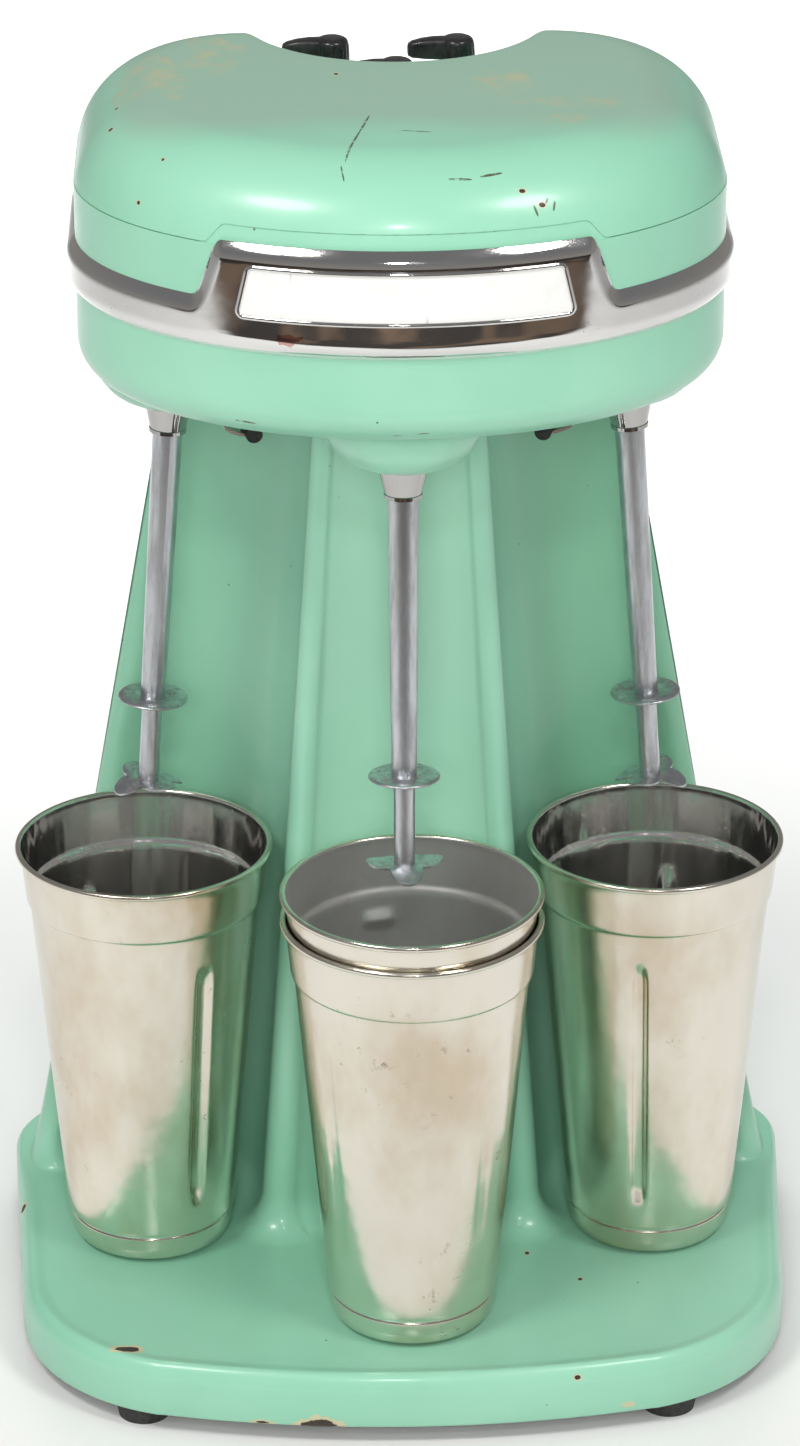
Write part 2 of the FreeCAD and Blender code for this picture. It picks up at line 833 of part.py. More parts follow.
def make_switch_deck():
    """The plate on the recess floor that carries the rotary switches."""
    thick = size("deck_thickness")
    low = size("recess_floor") - thick
    plate = recess_block(size("recess_radius") - 0.3, low, size("column_rear") - size("cover_wall"))
    slab = Part.makeBox(400, 400, thick, Vector(-200, -200, low))
    plate = plate.common(slab)
    for x, y in switch_places().values():
        plate = plate.cut(Part.makeCylinder(size("switch_neck_radius"), 10, Vector(x, y, low - 2)))
    for x, y in deck_screw_places():
        plate = plate.cut(Part.makeCylinder(1.6, 10, Vector(x, y, low - 2)))
    shape_node("switch_deck", plate)


def side_screw_frame(side):
    """Where one flank screw lies: its +Z points outwards, its origin is under its head."""
    seat = Vector(side * size("side_screw_seat"), size("side_screw_place"), size("side_screw_level"))
    return Placement(seat, Rotation(Vector(0, 1, 0), side * 90))


def side_screw_hole(side):
    """The hole of one flank screw, with a flat seat for its head."""
    hole = Part.makeCylinder(2.1, 20, Vector(0, 0, -15)).fuse(Part.makeCylinder(4.1, 12, Vector(0, 0, 0)))
    return placed(hole, side_screw_frame(side))


def make_side_screws():
    """The dark screws in the flanks of the lower housing."""
    corners = [("0", "0"), ("2", "0"), ("2", "8"), ("4", "8"), ("4", "10"), ("3", "11"), ("0", "11")]
    screws = []
    for side, name in ((-1, "Left"), (1, "Right")):
        screws.append(turned_body("SideScrew" + name, corners, side_screw_frame(side) * at(0, 0, -8)))
    group("side_screws", screws)


# ---------------------------------------------------------------- bright trim


def hump_corners():
    """The outline, seen from the front, of the band's raised middle."""
    base = size("band_top") - 4
    return symmetric(size("hump_foot_half_width"), base, size("hump_top_half_width"), size("hump_top"))


def badge_corners(grow):
    """The badge's outline, seen from the front, larger all round by grow."""
    low = size("badge_bottom") - grow
    high = size("badge_top") + grow
    return symmetric(size("badge_foot_half_width") + grow, low, size("badge_top_half_width") + grow, high)


def make_chrome_band():
    """The bright band round the head, raised over the badge at the front."""
    low = size("band_bottom")
    high = size("hump_top")
    mid = 0.5 * (low + size("band_top"))
    proud = size("band_proud")
    ring = head_block(proud, low, high)
    lower_edge = level_edges(ring, low)
    upper_edge = level_edges(ring, high)
    ring = ring.makeChamfer(1.2, lower_edge + upper_edge)
    ring = ring.cut(head_block(0, low - 1, high + 1))
    strap = head_block(proud + 5, low - 1, size("band_top"))
    kept = strap.fuse(front_prism(hump_corners()))
    ring = ring.common(kept)
    ring = ring.cut(front_prism(badge_corners(0.1)))
    shape_node("chrome_band", ring)


def make_badge():
    """The blank badge in the band's window, and the bead round it."""
    thick = size("badge_thickness")
    span = (size("badge_bottom") - 5, size("badge_top") + 5)
    skin = head_block(thick, *span).cut(head_block(0, *span))
    shape_node("nameplate", skin.common(front_prism(badge_corners(0))))
    bead = size("badge_bead")
    proud = size("band_proud") + 0.8
    rim = head_block(proud, *span).cut(head_block(thick, *span))
    rim = rim.common(front_prism(badge_corners(0)).cut(front_prism(badge_corners(-bead))))
    shape_node("nameplate_frame", rim)


# ---------------------------------------------------------------- spindles and motors


def make_spindle(side, frame):
    """One spindle with its shaft, stepped so that the splash disc seats under a shoulder."""
    corners = [
        ("0", "screw_length + 1"),
        ("screw_shank_radius", "screw_length + 1"),
        ("screw_shank_radius", "screw_head + agitator_thickness"),
        ("spindle_low_radius", "screw_head + agitator_thickness"),
        ("spindle_low_radius", "disc_level + disc_thickness"),
        ("spindle_mid_radius", "disc_level + disc_thickness"),
        ("spindle_top_radius", "collar_bottom"),
        ("spindle_top_radius", "shaft_start"),
        ("shaft_radius", "shaft_start"),
        ("shaft_radius", "shaft_end"),
        ("0", "shaft_end"),
    ]
    node(turned_body("Spindle_" + side, corners), "spindle_" + side, frame)


def make_splash_disc(side, frame):
    """The disc that keeps drink from climbing the spindle."""
    corners = [
        ("spindle_low_radius", "disc_level"),
        ("disc_radius - 2", "disc_level"),
        ("disc_radius", "disc_level + 0.7"),
        ("disc_radius", "disc_level + 0.7 + disc_thickness"),
        ("disc_radius - 2", "disc_level + disc_thickness"),
        ("spindle_low_radius", "disc_level + disc_thickness"),
    ]
    node(turned_body("Disc_" + side, corners), "splash_disc_" + side, frame)


def petal(angle, droop, reach):
    """One petal of the agitator: a rounded blade bent up or down from the hub."""
    width = 10.5
    thick = size("agitator_thickness")
    start = size("agitator_hub_radius") - 1.4
    blade = Part.makeBox(reach - start, width, thick, Vector(start, -0.5 * width, 0))
    tips = [e for e in blade.Edges if abs(e.BoundBox.XMin - reach) < 1e-6 and e.BoundBox.ZLength > 0.1]
    blade = blade.makeFillet(0.45 * width, tips)
    blade.rotate(Vector(start, 0, 0), Vector(0, 1, 0), droop)
    blade.rotate(Vector(0, 0, 0), UP, angle)
    return blade


def make_agitator(side, frame):
    """The stamped mixing blade: a hub and four petals, bent by turns up and down."""
    thick = size("agitator_thickness")
    reach = size("agitator_radius")
    hub = Part.makeCylinder(size("agitator_hub_radius"), thick)
    for quarter in range(4):
        droop = 14 if quarter % 2 else -14
        hub = hub.fuse(petal(90 * quarter + 20, droop, reach))
    hub = hub.cut(Part.makeCylinder(size("screw_shank_radius"), 4, Vector(0, 0, -1)))
    hub.translate(UP * size("screw_head"))
    shape_node("agitator_" + side, hub.removeSplitter()).Placement = frame


def make_agitator_screw(side, frame):
    """The screw that holds the agitator on the spindle's end."""
    corners = [
        ("0", "0"),
        ("screw_head_radius - 0.8", "0"),
        ("screw_head_radius", "1"),
        ("screw_head_radius", "screw_head"),
        ("screw_shank_radius", "screw_head"),
        ("screw_shank_radius", "screw_length"),
        ("0", "screw_length"),
    ]
    node(turned_body("Screw_" + side, corners), "agitator_screw_" + side, frame)


def make_rotor(side, frame):
    """What turns inside the motor: the cooling fan, the wound armature and the commutator."""
    high = "boss_top + stator_height - 1"
    core = tube("Core_" + side, "armature_radius", "shaft_radius", "boss_top + 1", high, frame)
    low = "commutator_level"
    high = "commutator_level + commutator_height"
    commutator = tube("Commutator_" + side, "commutator_radius", "shaft_radius", low, high, frame)
    group("armature_" + side, [core, commutator])
    level = size("fan_level")
    height = size("fan_blade_height")
    fan = Part.makeCylinder(size("fan_radius"), 1, Vector(0, 0, level))
    fan = fan.fuse(Part.makeCylinder(size("shaft_radius") + 4, height, Vector(0, 0, level)))
    for i in range(8):
        reach = size("fan_radius") - 8
        blade = Part.makeBox(reach, 1.2, height, Vector(7.5, -0.6, level))
        blade.rotate(Vector(0, 0, 0), UP, 45 * i)
        fan = fan.fuse(blade)
    fan = fan.cut(Part.makeCylinder(size("shaft_radius"), 20, Vector(0, 0, level - 5)))
    shape_node("fan_" + side, fan.removeSplitter()).Placement = frame


def ring_segment(outer, inner, low, height, half_angle):
    """Part of a ring about the local axis, centred on +Y."""
    sector = Part.makeCylinder(outer, height, Vector(0, 0, low), UP, 2 * half_angle)
    sector = sector.cut(Part.makeCylinder(inner, height + 2, Vector(0, 0, low - 1)))
    sector.rotate(Vector(0, 0, 0), UP, 90 - half_angle)
    return sector


def bridge_shape():
    """The strap over a motor that carries its top bearing."""
    level = size("bridge_level")
    thick = size("bridge_thickness")
    width = size("bridge_width")
    foot = size("boss_top") + size("stator_height")
    span = size("stator_radius")
    bar = Part.makeBox(2 * span, width, thick, Vector(-span, -0.5 * width, level))
    for side in (-span, span - thick):
        bar = bar.fuse(Part.makeBox(thick, width, level - foot, Vector(side, -0.5 * width, foot)))
    bar = bar.cut(Part.makeCylinder(size("top_bearing_radius"), 3 * thick, Vector(0, 0, level - thick)))
    corner = Part.makeCylinder(span + 1, 80, Vector(0, 0, foot - 10))
    return bar.common(corner).removeSplitter()


def make_motor_statics():
    """The motors' fixed pieces, one solid of each kind per motor."""
    frames = spindle_frames()
    foot = size("boss_top") + size("stator_height")
    bore = "shaft_radius + bearing_clearance"
    low = "top_bearing_level"
    sleeves = {
        "stators": ("stator_radius", "stator_bore_radius", "boss_top", "boss_top + stator_height"),
        "lower_bearings": ("bearing_radius", bore, "bearing_low", "bearing_low + bearing_low_height"),
        "upper_bearings": ("top_bearing_radius", bore, low, low + " + top_bearing_height"),
    }
    for label, sizes in sleeves.items():
        group(label, [tube(f"{label}_{side}", *sizes, frame) for side, frame in frames.items()])
    collars = [turned_body("Collar_" + side, collar_corners(), frame) for side, frame in frames.items()]
    group("spindle_collars", collars)
    coils = []
    holders = []
    inner = size("commutator_radius") + 0.6
    reach = size("stator_radius") - size("bridge_thickness") - inner
    holder = Part.makeBox(reach, 7, 7, Vector(inner, -3.5, size("commutator_level") + 1.5))
    for frame in frames.values():
        for half in (0, 180):
            turn = frame * Placement(Vector(0, 0, 0), Rotation(UP, half))
            coils.append(placed(ring_segment(26, 17, foot, 7, 55), turn))
            holders.append(placed(holder, turn))
    shape_node("field_coils", Part.makeCompound(coils))
    shape_node("brush_holders", Part.makeCompound(holders))
    shape_node("bearing_bridges", Part.makeCompound([placed(bridge_shape(), f) for f in frames.values()]))


def collar_corners():
    """The outline of a spindle collar: a cone with a small lip round its lower end."""
    return [
        ("collar_bore_radius", "collar_bottom"),
        ("collar_low_radius + 0.3", "collar_bottom"),
        ("collar_low_radius + 0.3", "collar_bottom + 1.4"),
        ("collar_low_radius", "collar_bottom + 1.6"),
        ("collar_high_radius", "collar_top - 1.5"),
        ("collar_high_radius", "collar_top"),
        ("collar_bore_radius", "collar_top"),
    ]


# ---------------------------------------------------------------- cups


def cup_corners():
    """The closed outline of a cup's wall: up the outside and down the inside."""
    outside = [
        ("cup_sole_radius", "0"),
        ("cup_sole_radius + 3.6", "1.6"),
        ("cup_heel_radius", "cup_heel_level"),
        ("cup_heel_radius + 0.2", "cup_groove_level - 1.2"),
        ("cup_groove_radius", "cup_groove_level"),
        ("cup_shoulder_radius", "cup_shoulder_level"),
        ("cup_band_low_radius", "cup_band_low"),
        ("cup_band_top_radius", "cup_height - cup_bead"),
    ]
    inside = [
        ("cup_band_top_radius - cup_wall", "cup_height - cup_bead"),
        ("cup_band_low_radius - cup_wall", "cup_band_low + 0.3"),
        ("cup_shoulder_radius - cup_wall", "cup_shoulder_level + 0.3"),
        ("cup_groove_radius - cup_wall", "cup_groove_level + 0.4"),
        ("cup_heel_radius + 0.2 - cup_wall", "cup_groove_level - 0.8"),
        ("cup_heel_radius - cup_wall", "cup_heel_level + 0.3"),
        ("cup_sole_radius + 3.6 - cup_wall", "1.6 + cup_wall"),
        ("cup_sole_radius - 0.1", "cup_wall"),
        ("0", "cup_wall"),
    ]
    return [("0", "0")] + outside + inside


def make_cup(label, place):
    """A drawn steel cup with a rolled rim."""
    body = turned_body("Body_" + label, cup_corners())
    rim = body.newObject("Sketcher::SketchObject", "Rim_" + label)
    rim.AttachmentSupport = [(origin_plane(body, "XZ_Plane"), "")]
    rim.MapMode = "FlatFace"
    middle = Vector(size("cup_bead_centre"), size("cup_height") - size("cup_bead"), 0)
    rim.addGeometry(Part.Circle(middle, Vector(0, 0, 1), size("cup_bead")))
    across = rim.addConstraint(Sketcher.Constraint("DistanceX", -1, 1, 0, 3, middle.x))
    rim.setExpression(f"Constraints[{across}]", cell("cup_bead_centre"))
    raised = rim.addConstraint(Sketcher.Constraint("DistanceY", -1, 1, 0, 3, middle.y))
    rim.setExpression(f"Constraints[{raised}]", cell("cup_height - cup_bead"))
    round_size = rim.addConstraint(Sketcher.Constraint("Radius", 0, size("cup_bead")))
    rim.setExpression(f"Constraints[{round_size}]", cell("cup_bead"))
    body.Tip = spin(body, rim)
    node(body, label, place)


def make_cups():
    """The cups on the deck, with a spare nested in the middle one."""
    deck = size("deck_height") + size("cup_gap")
    centre = Vector(size("cup_centre_x"), size("cup_centre_y"), deck)
    make_cup("cup_left", at(size("cup_left_x"), size("cup_left_y"), deck))
    make_cup("cup_centre", Placement(centre, Rotation()))
    make_cup("cup_inner", Placement(centre + UP * size("cup_nest_rise"), Rotation()))
    make_cup("cup_right", at(size("cup_right_x"), size("cup_right_y"), deck))


def make_cup_bumpers():
    """Rubber buttons on the column that the raised cups lean against."""
    level = size("bumper_level")
    flute = column_sides(level)[1]
    radius = size("flute_radius")
    spread = size("bumper_spread")
    sink = 0.2
    button = (size("bumper_radius"), size("bumper_height"))
    bumpers = []
    for side in (-1, 1):
        wall = Vector(side * spread, flute_point(flute, radius, spread), level)
        inward = Vector(side * flute - wall.x, size("flute_place") - wall.y, 0).normalize()
        bumpers.append(Part.makeCylinder(*button, wall - inward * sink, inward))
    deep = Vector(0, size("ridge_place") + size("centre_flute_depth") + sink, level)
    bumpers.append(Part.makeCylinder(*button, deep, FORWARD))
    column = column_block(0, size("deck_height") - 0.5 * size("sheet_thickness"), size("column_top"))
    shape_node("cup_bumpers", Part.makeCompound([b.cut(column) for b in bumpers]))


# ---------------------------------------------------------------- switches and knobs


def make_rotary_switches():
    """The switches under the deck and the nuts that hold their necks."""
    floor = size("recess_floor")
    bodies = []
    nuts = []
    for side, (x, y) in switch_places().items():
        corners = [
            ("knob_stem_radius + 0.05", "0"),
            ("switch_radius", "0"),
            ("switch_radius", "switch_depth"),
            ("switch_neck_radius", "switch_depth"),
            ("switch_neck_radius", "switch_depth + deck_thickness + nut_thickness + 0.5"),
            ("knob_stem_radius + 0.05", "switch_depth + deck_thickness + nut_thickness + 0.5"),
        ]
        low = floor - size("deck_thickness") - size("switch_depth")
        bodies.append(turned_body("Switch_" + side, corners, at(x, y, low)))
        nut = DOC.addObject("Part::Prism", "NutBlank_" + side)
        nut.Polygon = 6
        nut.Circumradius = 7.5
        bind(nut, Height="nut_thickness")
        hole = DOC.addObject("Part::Cylinder", "NutHole_" + side)
        bind(hole, Radius="switch_neck_radius", Height="nut_thickness")
        ring = DOC.addObject("Part::Cut", "Nut_" + side)
        ring.Base = nut
        ring.Tool = hole
        ring.Placement = at(x, y, floor)
        nuts.append(ring)
    group("rotary_switches", bodies)
    group("switch_nuts", nuts)


def make_knobs():
    """Moulded pointer knobs, all turned to off, with the pointer to the left."""
    floor = size("recess_floor")
    for side, (x, y) in switch_places().items():
        corners = [
            ("0", "0"),
            ("knob_stem_radius", "0"),
            ("knob_stem_radius", "10 + knob_low"),
            ("knob_hub_radius", "10 + knob_low"),
            ("knob_hub_radius - 0.6", "10 + knob_top - 1.5"),
            ("knob_hub_radius - 2.1", "10 + knob_top"),
            ("0", "10 + knob_top"),
        ]
        hub = turned_body("KnobHub_" + side, corners, at(0, 0, -10))
        pointer = DOC.addObject("Part::Box", "KnobPointer_" + side)
        bind(pointer, Length="pointer_length", Width="pointer_width", Height="knob_top - pointer_low - 1")
        pointer.Placement = at(-size("pointer_length"), -0.5 * size("pointer_width"), size("pointer_low"))
        whole = DOC.addObject("Part::Fuse", "KnobShape_" + side)
        whole.Base = hub
        whole.Tool = pointer
        node(whole, "knob_" + side, at(x, y, floor))


# ---------------------------------------------------------------- cup levers


def lever_frames():
    """Each lever's frame: origin on its pin, +X outwards to the spindle."""
    start = Vector(size("lever_pivot_reach"), 0, size("lever_pivot_level"))
    centre = Vector(0, size("circle_place"), 0)
    frames = {}
    for side, angle in (("left", -1), ("centre", 0), ("right", 1)):
        turn = Rotation(UP, angle * size("side_angle") - 90)
        frames[side] = Placement(centre + turn.multVec(start), turn)
    return frames


def cross_pin(radius, start, length):
    """A cylinder along a lever's pin axis."""
    return Part.makeCylinder(radius, length, Vector(0, start, 0), Vector(0, 1, 0))


def lever_ears():
    """The two ears that hold a lever's pin under the head's floor."""
    thick = size("lever_ear_thickness")
    gap = 0.5 * size("lever_width") + 0.6
    height = size("column_top") - size("lever_pivot_level")
    ears = []
    for start in (gap, -gap - thick):
        ear = Part.makeBox(8, thick, height + 0.5, Vector(-4, start, 0))
        ear = ear.fuse(cross_pin(4, start, thick))
        ears.append(ear.cut(cross_pin(size("lever_pin_radius"), start - thick, 3 * thick)))
    return ears


def lever_strip():
    """A bent steel strip: an eye on the pin, a drop, a shoe that curves up and out, and a tail."""
    thick = size("lever_thickness")
    width = size("lever_width")
    drop = size("lever_drop")
    bend = size("lever_bend")
    corner = bend * (1 - math.sqrt(0.5))
    low = -drop - bend
    reach = size("lever_shoe_reach")
    middle = Vector(0.5 * (bend + reach), 0, low + 0.25 * size("lever_shoe_rise"))
    end = Vector(reach, 0, low + size("lever_shoe_rise"))
    line = [
        Part.makeLine(Vector(0, 0, 0), Vector(0, 0, -drop)),
        Part.Arc(Vector(0, 0, -drop), Vector(corner, 0, low + corner), Vector(bend, 0, low)).toShape(),
        Part.Arc(Vector(bend, 0, low), middle, end).toShape(),
    ]
    outline = Part.Wire(line).makeOffset2D(0.5 * thick, 0, False, False, False)
    strip = Part.Face(outline).extrude(Vector(0, width, 0))
    strip.translate(Vector(0, -0.5 * width - strip.BoundBox.YMin, 0))
    strip = strip.fuse(cross_pin(size("lever_eye_radius"), -0.5 * width, width))
    back = size("lever_tail")
    tail = Part.makeBox(back, width, thick, Vector(-back, -0.5 * width, -0.5 * thick))
    hole = cross_pin(size("lever_pin_radius") + size("bearing_clearance"), -width, 2 * width)
    return strip.fuse(tail).cut(hole).removeSplitter()


def make_levers():
    """The levers, their rubber tips, their pins and the switches they work."""
    pins = []
    switches = []
    gap = 0.5 * size("lever_width") + 0.6 + size("lever_ear_thickness")
    strip = lever_strip()
    tip = cross_pin(size("lever_tip_radius"), -0.5 * size("lever_tip_width"), size("lever_tip_width"))
    tip.translate(Vector(size("lever_tip_place"), 0, -size("lever_drop") - size("lever_bend") + 0.5))
    tip = tip.cut(strip)
    pin = cross_pin(size("lever_pin_radius"), -gap - 1, 2 * gap + 1)
    pin = pin.fuse(cross_pin(size("lever_pin_radius") + 1, gap, 1)).removeSplitter()
    floor = size("column_top") + size("housing_wall") - size("lever_pivot_level")
    case = Part.makeBox(17, 8, 11, Vector(-14, -4, floor))
    plunger = Part.makeCylinder(1.2, floor - 1, Vector(size("lever_plunger_place"), 0, 1))
    for side, frame in lever_frames().items():
        shape_node("cup_lever_" + side, strip).Placement = frame
        shape_node("lever_tip_" + side, tip).Placement = frame
        pins.append(placed(pin, frame))
        switches.append(placed(case.fuse(plunger), frame))
    shape_node("lever_pins", Part.makeCompound(pins))
    shape_node("cup_switches", Part.makeCompound(switches))


# ---------------------------------------------------------------- assembly


def check_document():
    """Stops if any feature failed or any sub-part isn't a sound solid."""
    DOC.recompute()
    for feature in DOC.Objects:
        if "Invalid" in feature.State or "Error" in feature.State:
            raise RuntimeError(f"{feature.Label} failed: {feature.State}")
    for feature in NODES:
        shape = feature.Shape
        if shape.isNull() or not shape.isValid() or not shape.Solids:
            raise RuntimeError(f"{feature.Label} isn't a sound solid")


def write_nodes():
    """Writes each sub-part to its own file."""
    os.makedirs("parts", exist_ok=True)
    for feature in NODES:
        feature.Shape.exportStep(f"parts/{feature.Label}.step")


def main():
    fill_sheet()
    make_base_and_column()
    make_bottom_plate()
    make_feet()
    make_foot_screws()
    make_back_cover()
    make_cord_bushing()
    make_small_screws()
    make_lower_housing()
    make_column_bolts()
    make_top_cover()
    make_side_screws()
    make_switch_deck()
    make_chrome_band()
    make_badge()
    make_rotary_switches()
    make_knobs()
    make_motor_statics()
    for side, frame in spindle_frames().items():
        make_spindle(side, frame)
        make_splash_disc(side, frame)
        make_agitator(side, frame)
        make_agitator_screw(side, frame)
        make_rotor(side, frame)
    make_cups()
    make_cup_bumpers()
    make_levers()
    check_document()
    write_nodes()


main()
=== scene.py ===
"""Looks for the three-spindle drink mixer: smooth meshes, procedural materials, studio light."""
import json
import math

import bmesh
import bpy
import numpy as np
from mathutils import Matrix, Vector, geometry


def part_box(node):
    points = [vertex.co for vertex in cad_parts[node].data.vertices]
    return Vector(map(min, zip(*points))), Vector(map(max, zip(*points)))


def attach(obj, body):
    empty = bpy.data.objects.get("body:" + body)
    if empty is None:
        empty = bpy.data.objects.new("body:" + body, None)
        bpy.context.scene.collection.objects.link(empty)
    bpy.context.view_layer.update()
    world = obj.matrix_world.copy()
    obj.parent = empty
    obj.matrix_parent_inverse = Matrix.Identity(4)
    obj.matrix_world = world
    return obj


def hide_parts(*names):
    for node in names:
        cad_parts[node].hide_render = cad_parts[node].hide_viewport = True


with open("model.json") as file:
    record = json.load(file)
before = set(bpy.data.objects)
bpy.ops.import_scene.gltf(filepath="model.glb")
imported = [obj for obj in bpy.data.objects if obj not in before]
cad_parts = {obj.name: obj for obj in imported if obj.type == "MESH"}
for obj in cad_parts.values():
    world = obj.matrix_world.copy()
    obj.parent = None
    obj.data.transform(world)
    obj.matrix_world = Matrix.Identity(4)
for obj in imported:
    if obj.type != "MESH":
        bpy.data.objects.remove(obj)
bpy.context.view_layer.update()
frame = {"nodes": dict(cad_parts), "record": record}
RECORD = frame["record"]
JOINTS = {j["name"]: j for j in RECORD["behaviour"]["joints"]}
MM = 0.001
TAU = 2 * math.pi


# ---- node graphs


def mm(*values):
    """Millimetres to metres."""
    return tuple(v * MM for v in values)


def opaque(value):
    """A colour with its alpha; anything else as it is."""
    return (*value, 1.0) if isinstance(value, tuple) and len(value) == 3 else value


class Graph:
    """A short way to write a material's nodes. Places are object coordinates in metres."""

    def __init__(self, name):
        self.material = bpy.data.materials.new(name)
        self.material.use_nodes = True
        self.tree = self.material.node_tree
        self.shader = self.tree.nodes["Principled BSDF"]
        self.place = self.add("TexCoord").outputs["Object"]

    def add(self, kind, sockets=None, **settings):
        """A new node. Its sockets, by name or number, take plain values or other nodes' outputs."""
        made = self.tree.nodes.new("ShaderNode" + kind)
        for key, value in settings.items():
            setattr(made, key, value)
        for key, value in (sockets or {}).items():
            self.feed(made.inputs[key], value)
        return made

    def feed(self, socket, value):
        """Links an output into a socket, or sets the socket to a plain value."""
        if isinstance(value, bpy.types.NodeSocket):
            self.tree.links.new(value, socket)
        else:
            socket.default_value = value

    def scaled(self, scale, turn=(0, 0, 0)):
        """The place, stretched and turned."""
        return self.add("Mapping", {"Vector": self.place, "Scale": scale, "Rotation": turn}).outputs["Vector"]

    def noise(self, scale, detail=4.0, roughness=0.55, vector=None, distortion=0.0):
        """Cloudy noise round 0.5."""
        return self.add("TexNoise", {"Vector": vector or self.place, "Scale": scale, "Detail": detail,
                                     "Roughness": roughness, "Distortion": distortion}).outputs["Fac"]

    def cells(self, scale):
        """Distance to the nearest of many scattered points."""
        return self.add("TexVoronoi", {"Vector": self.place, "Scale": scale}, feature="F1").outputs["Distance"]

    def math(self, operation, first, second=0.0, clamp=False):
        return self.add("Math", {0: first, 1: second}, operation=operation, use_clamp=clamp).outputs[0]

    def times(self, first, second):
        return self.math("MULTIPLY", first, second)

    def ramp(self, value, low, high, start=0.0, end=1.0):
        """A smooth step from one value to another."""
        return self.add("MapRange", {"Value": value, "From Min": low, "From Max": high, "To Min": start, "To Max": end},
                        interpolation_type="SMOOTHSTEP").outputs["Result"]

    def band(self, value, foot, low, high, end):
        """1 between low and high, 0 outside foot and end, smooth between."""
        return self.times(self.ramp(value, foot, low), self.ramp(value, end, high))

    def mix(self, factor, first, second):
        sockets = {"Factor": factor, "A": opaque(first), "B": opaque(second)}
        return self.add("Mix", sockets, data_type="RGBA").outputs["Result"]

    def axis(self, which):
        return self.add("SeparateXYZ", {0: self.place}).outputs[which]

    def spot(self, centre, radii, turn=(0, 0, 0), ragged=0.35, grain=260.0):
        """A mask that is 1 inside a ragged ellipsoid and 0 outside it."""
        sockets = {"Vector": self.place, "Location": centre, "Rotation": turn, "Scale": radii}
        mapping = self.add("Mapping", sockets, vector_type="TEXTURE")
        length = self.add("VectorMath", {0: mapping.outputs["Vector"]}, operation="LENGTH")
        wobble = self.times(self.math("SUBTRACT", self.noise(grain, 3.0), 0.5), 2 * ragged)
        return self.ramp(self.math("ADD", length.outputs["Value"], wobble), 1.06, 0.94)

    def most(self, masks):
        """The largest of several masks."""
        result = masks[0]
        for mask in masks[1:]:
            result = self.math("MAXIMUM", result, mask)
        return result

    def bump(self, height, strength, distance, normal=None):
        """A normal bent by a height, on top of another normal if one is given."""
        sockets = {"Height": height, "Strength": strength, "Distance": distance}
        if normal is not None:
            sockets["Normal"] = normal
        return self.add("Bump", sockets).outputs["Normal"]

    def finish(self, **sockets):
        """Fills the shader's sockets; underscores stand for spaces."""
        for key, value in sockets.items():
            self.feed(self.shader.inputs[key.replace("_", " ")], opaque(value))
        return self.material


# ---- materials

GREEN, GREEN_DARK, GREEN_PALE = (0.262, 0.575, 0.41), (0.20, 0.48, 0.33), (0.312, 0.62, 0.455)
# The three colours on the next line are painted: shade on the dome's top, shade in the column's side flutes and light
# down the column's middle.
TOP_SHADE, FLUTE_SHADE, COLUMN_LIGHT = (0.285, 0.43, 0.335), (0.15, 0.39, 0.235), (0.39, 0.72, 0.53)
SPECK, STAIN, SCRATCH = (0.075, 0.07, 0.04), (0.46, 0.44, 0.27), (0.09, 0.10, 0.05)
PRIMER, RUST_DARK, RUST = (0.56, 0.52, 0.33), (0.020, 0.015, 0.012), (0.060, 0.044, 0.031)
STEEL, DRIED = (0.60, 0.585, 0.56), (0.10, 0.075, 0.05)
CHROME, SMEARED = (0.78, 0.77, 0.76), (0.40, 0.34, 0.27)
PIT, RED_PAINT = (0.09, 0.06, 0.04), (0.45, 0.06, 0.03)

# Wear on the enamel: place and radii in millimetres, and a scratch's turn in radians.
BARE_CHIPS = [
    ((-113.5, -96.2, 30.5), (4.6, 2.7, 3.0)), ((-36.5, -122.8, 8.6), (7.5, 4.0, 3.2)),
    ((-160.4, 25.2, 29.0), (1.3, 2.4, 2.4)), ((68.5, -117.5, 27.0), (1.3, 1.0, 1.0)),
    ((52.2, -21.1, 30.2), (1.0, 1.2, 0.8)), ((73.2, -43.5, 30.2), (0.9, 1.0, 0.8)),
    ((-99.0, -74.2, 511.3), (0.8, 0.8, 0.9)), ((-89.8, -67.7, 525.9), (0.7, 0.7, 0.7)),
    ((-110.1, -31.5, 526.1), (1.4, 1.0, 0.8)), ((-108.3, -12.1, 528.2), (1.0, 0.9, 0.8)),
    ((-24.1, 11.6, 534.0), (0.9, 1.2, 0.8)), ((50.5, -99.8, 517.7), (1.3, 1.0, 0.9)),
    ((43.1, -98.1, 522.6), (1.2, 1.0, 0.7)), ((90.0, -117.0, 12.0), (3.0, 3.0, 1.5)),
    ((-60.0, -121.0, 9.0), (5.0, 2.0, 1.2)),
]
SCRATCHES = [
    ((-23.2, -94.0, 527.5), (0.35, 4.0, 4.5), (0.25, 0.0, 0.15)),
    ((-19.3, -76.0, 533.3), (0.45, 19.0, 2.5), (0.0, 0.0, -0.20)),
    ((-14.2, -51.0, 534.0), (0.5, 10.0, 1.5), (0.0, 0.0, -0.20)),
    ((20.2, -97.4, 527.2), (4.8, 1.5, 0.35), (0.0, 0.04, 0.0)),
    ((31.4, -94.6, 527.8), (5.2, 1.5, 0.35), (0.0, -0.08, 0.1)),
    ((52.6, -98.6, 519.4), (0.4, 1.5, 2.6), (0.0, 0.5, 0.0)),
    ((48.4, -101.6, 515.6), (0.4, 1.5, 3.0), (0.0, -0.4, 0.0)),
    ((55.0, -98.8, 516.6), (0.4, 1.5, 2.4), (0.0, 0.2, 0.0)),
    ((4.6, -60.6, 534.0), (6.0, 0.45, 1.0), (0.0, 0.0, -0.2)),
    ((-62.0, -101.5, 433.5), (6.0, 3.0, 0.5), (0.0, 0.05, 0.0)),
    ((-4.0, -112.8, 430.8), (6.5, 3.0, 0.45), (0.0, -0.06, 0.0)),
    ((6.0, -112.8, 431.9), (3.0, 3.0, 0.4), (0.0, -0.1, 0.0)),
]
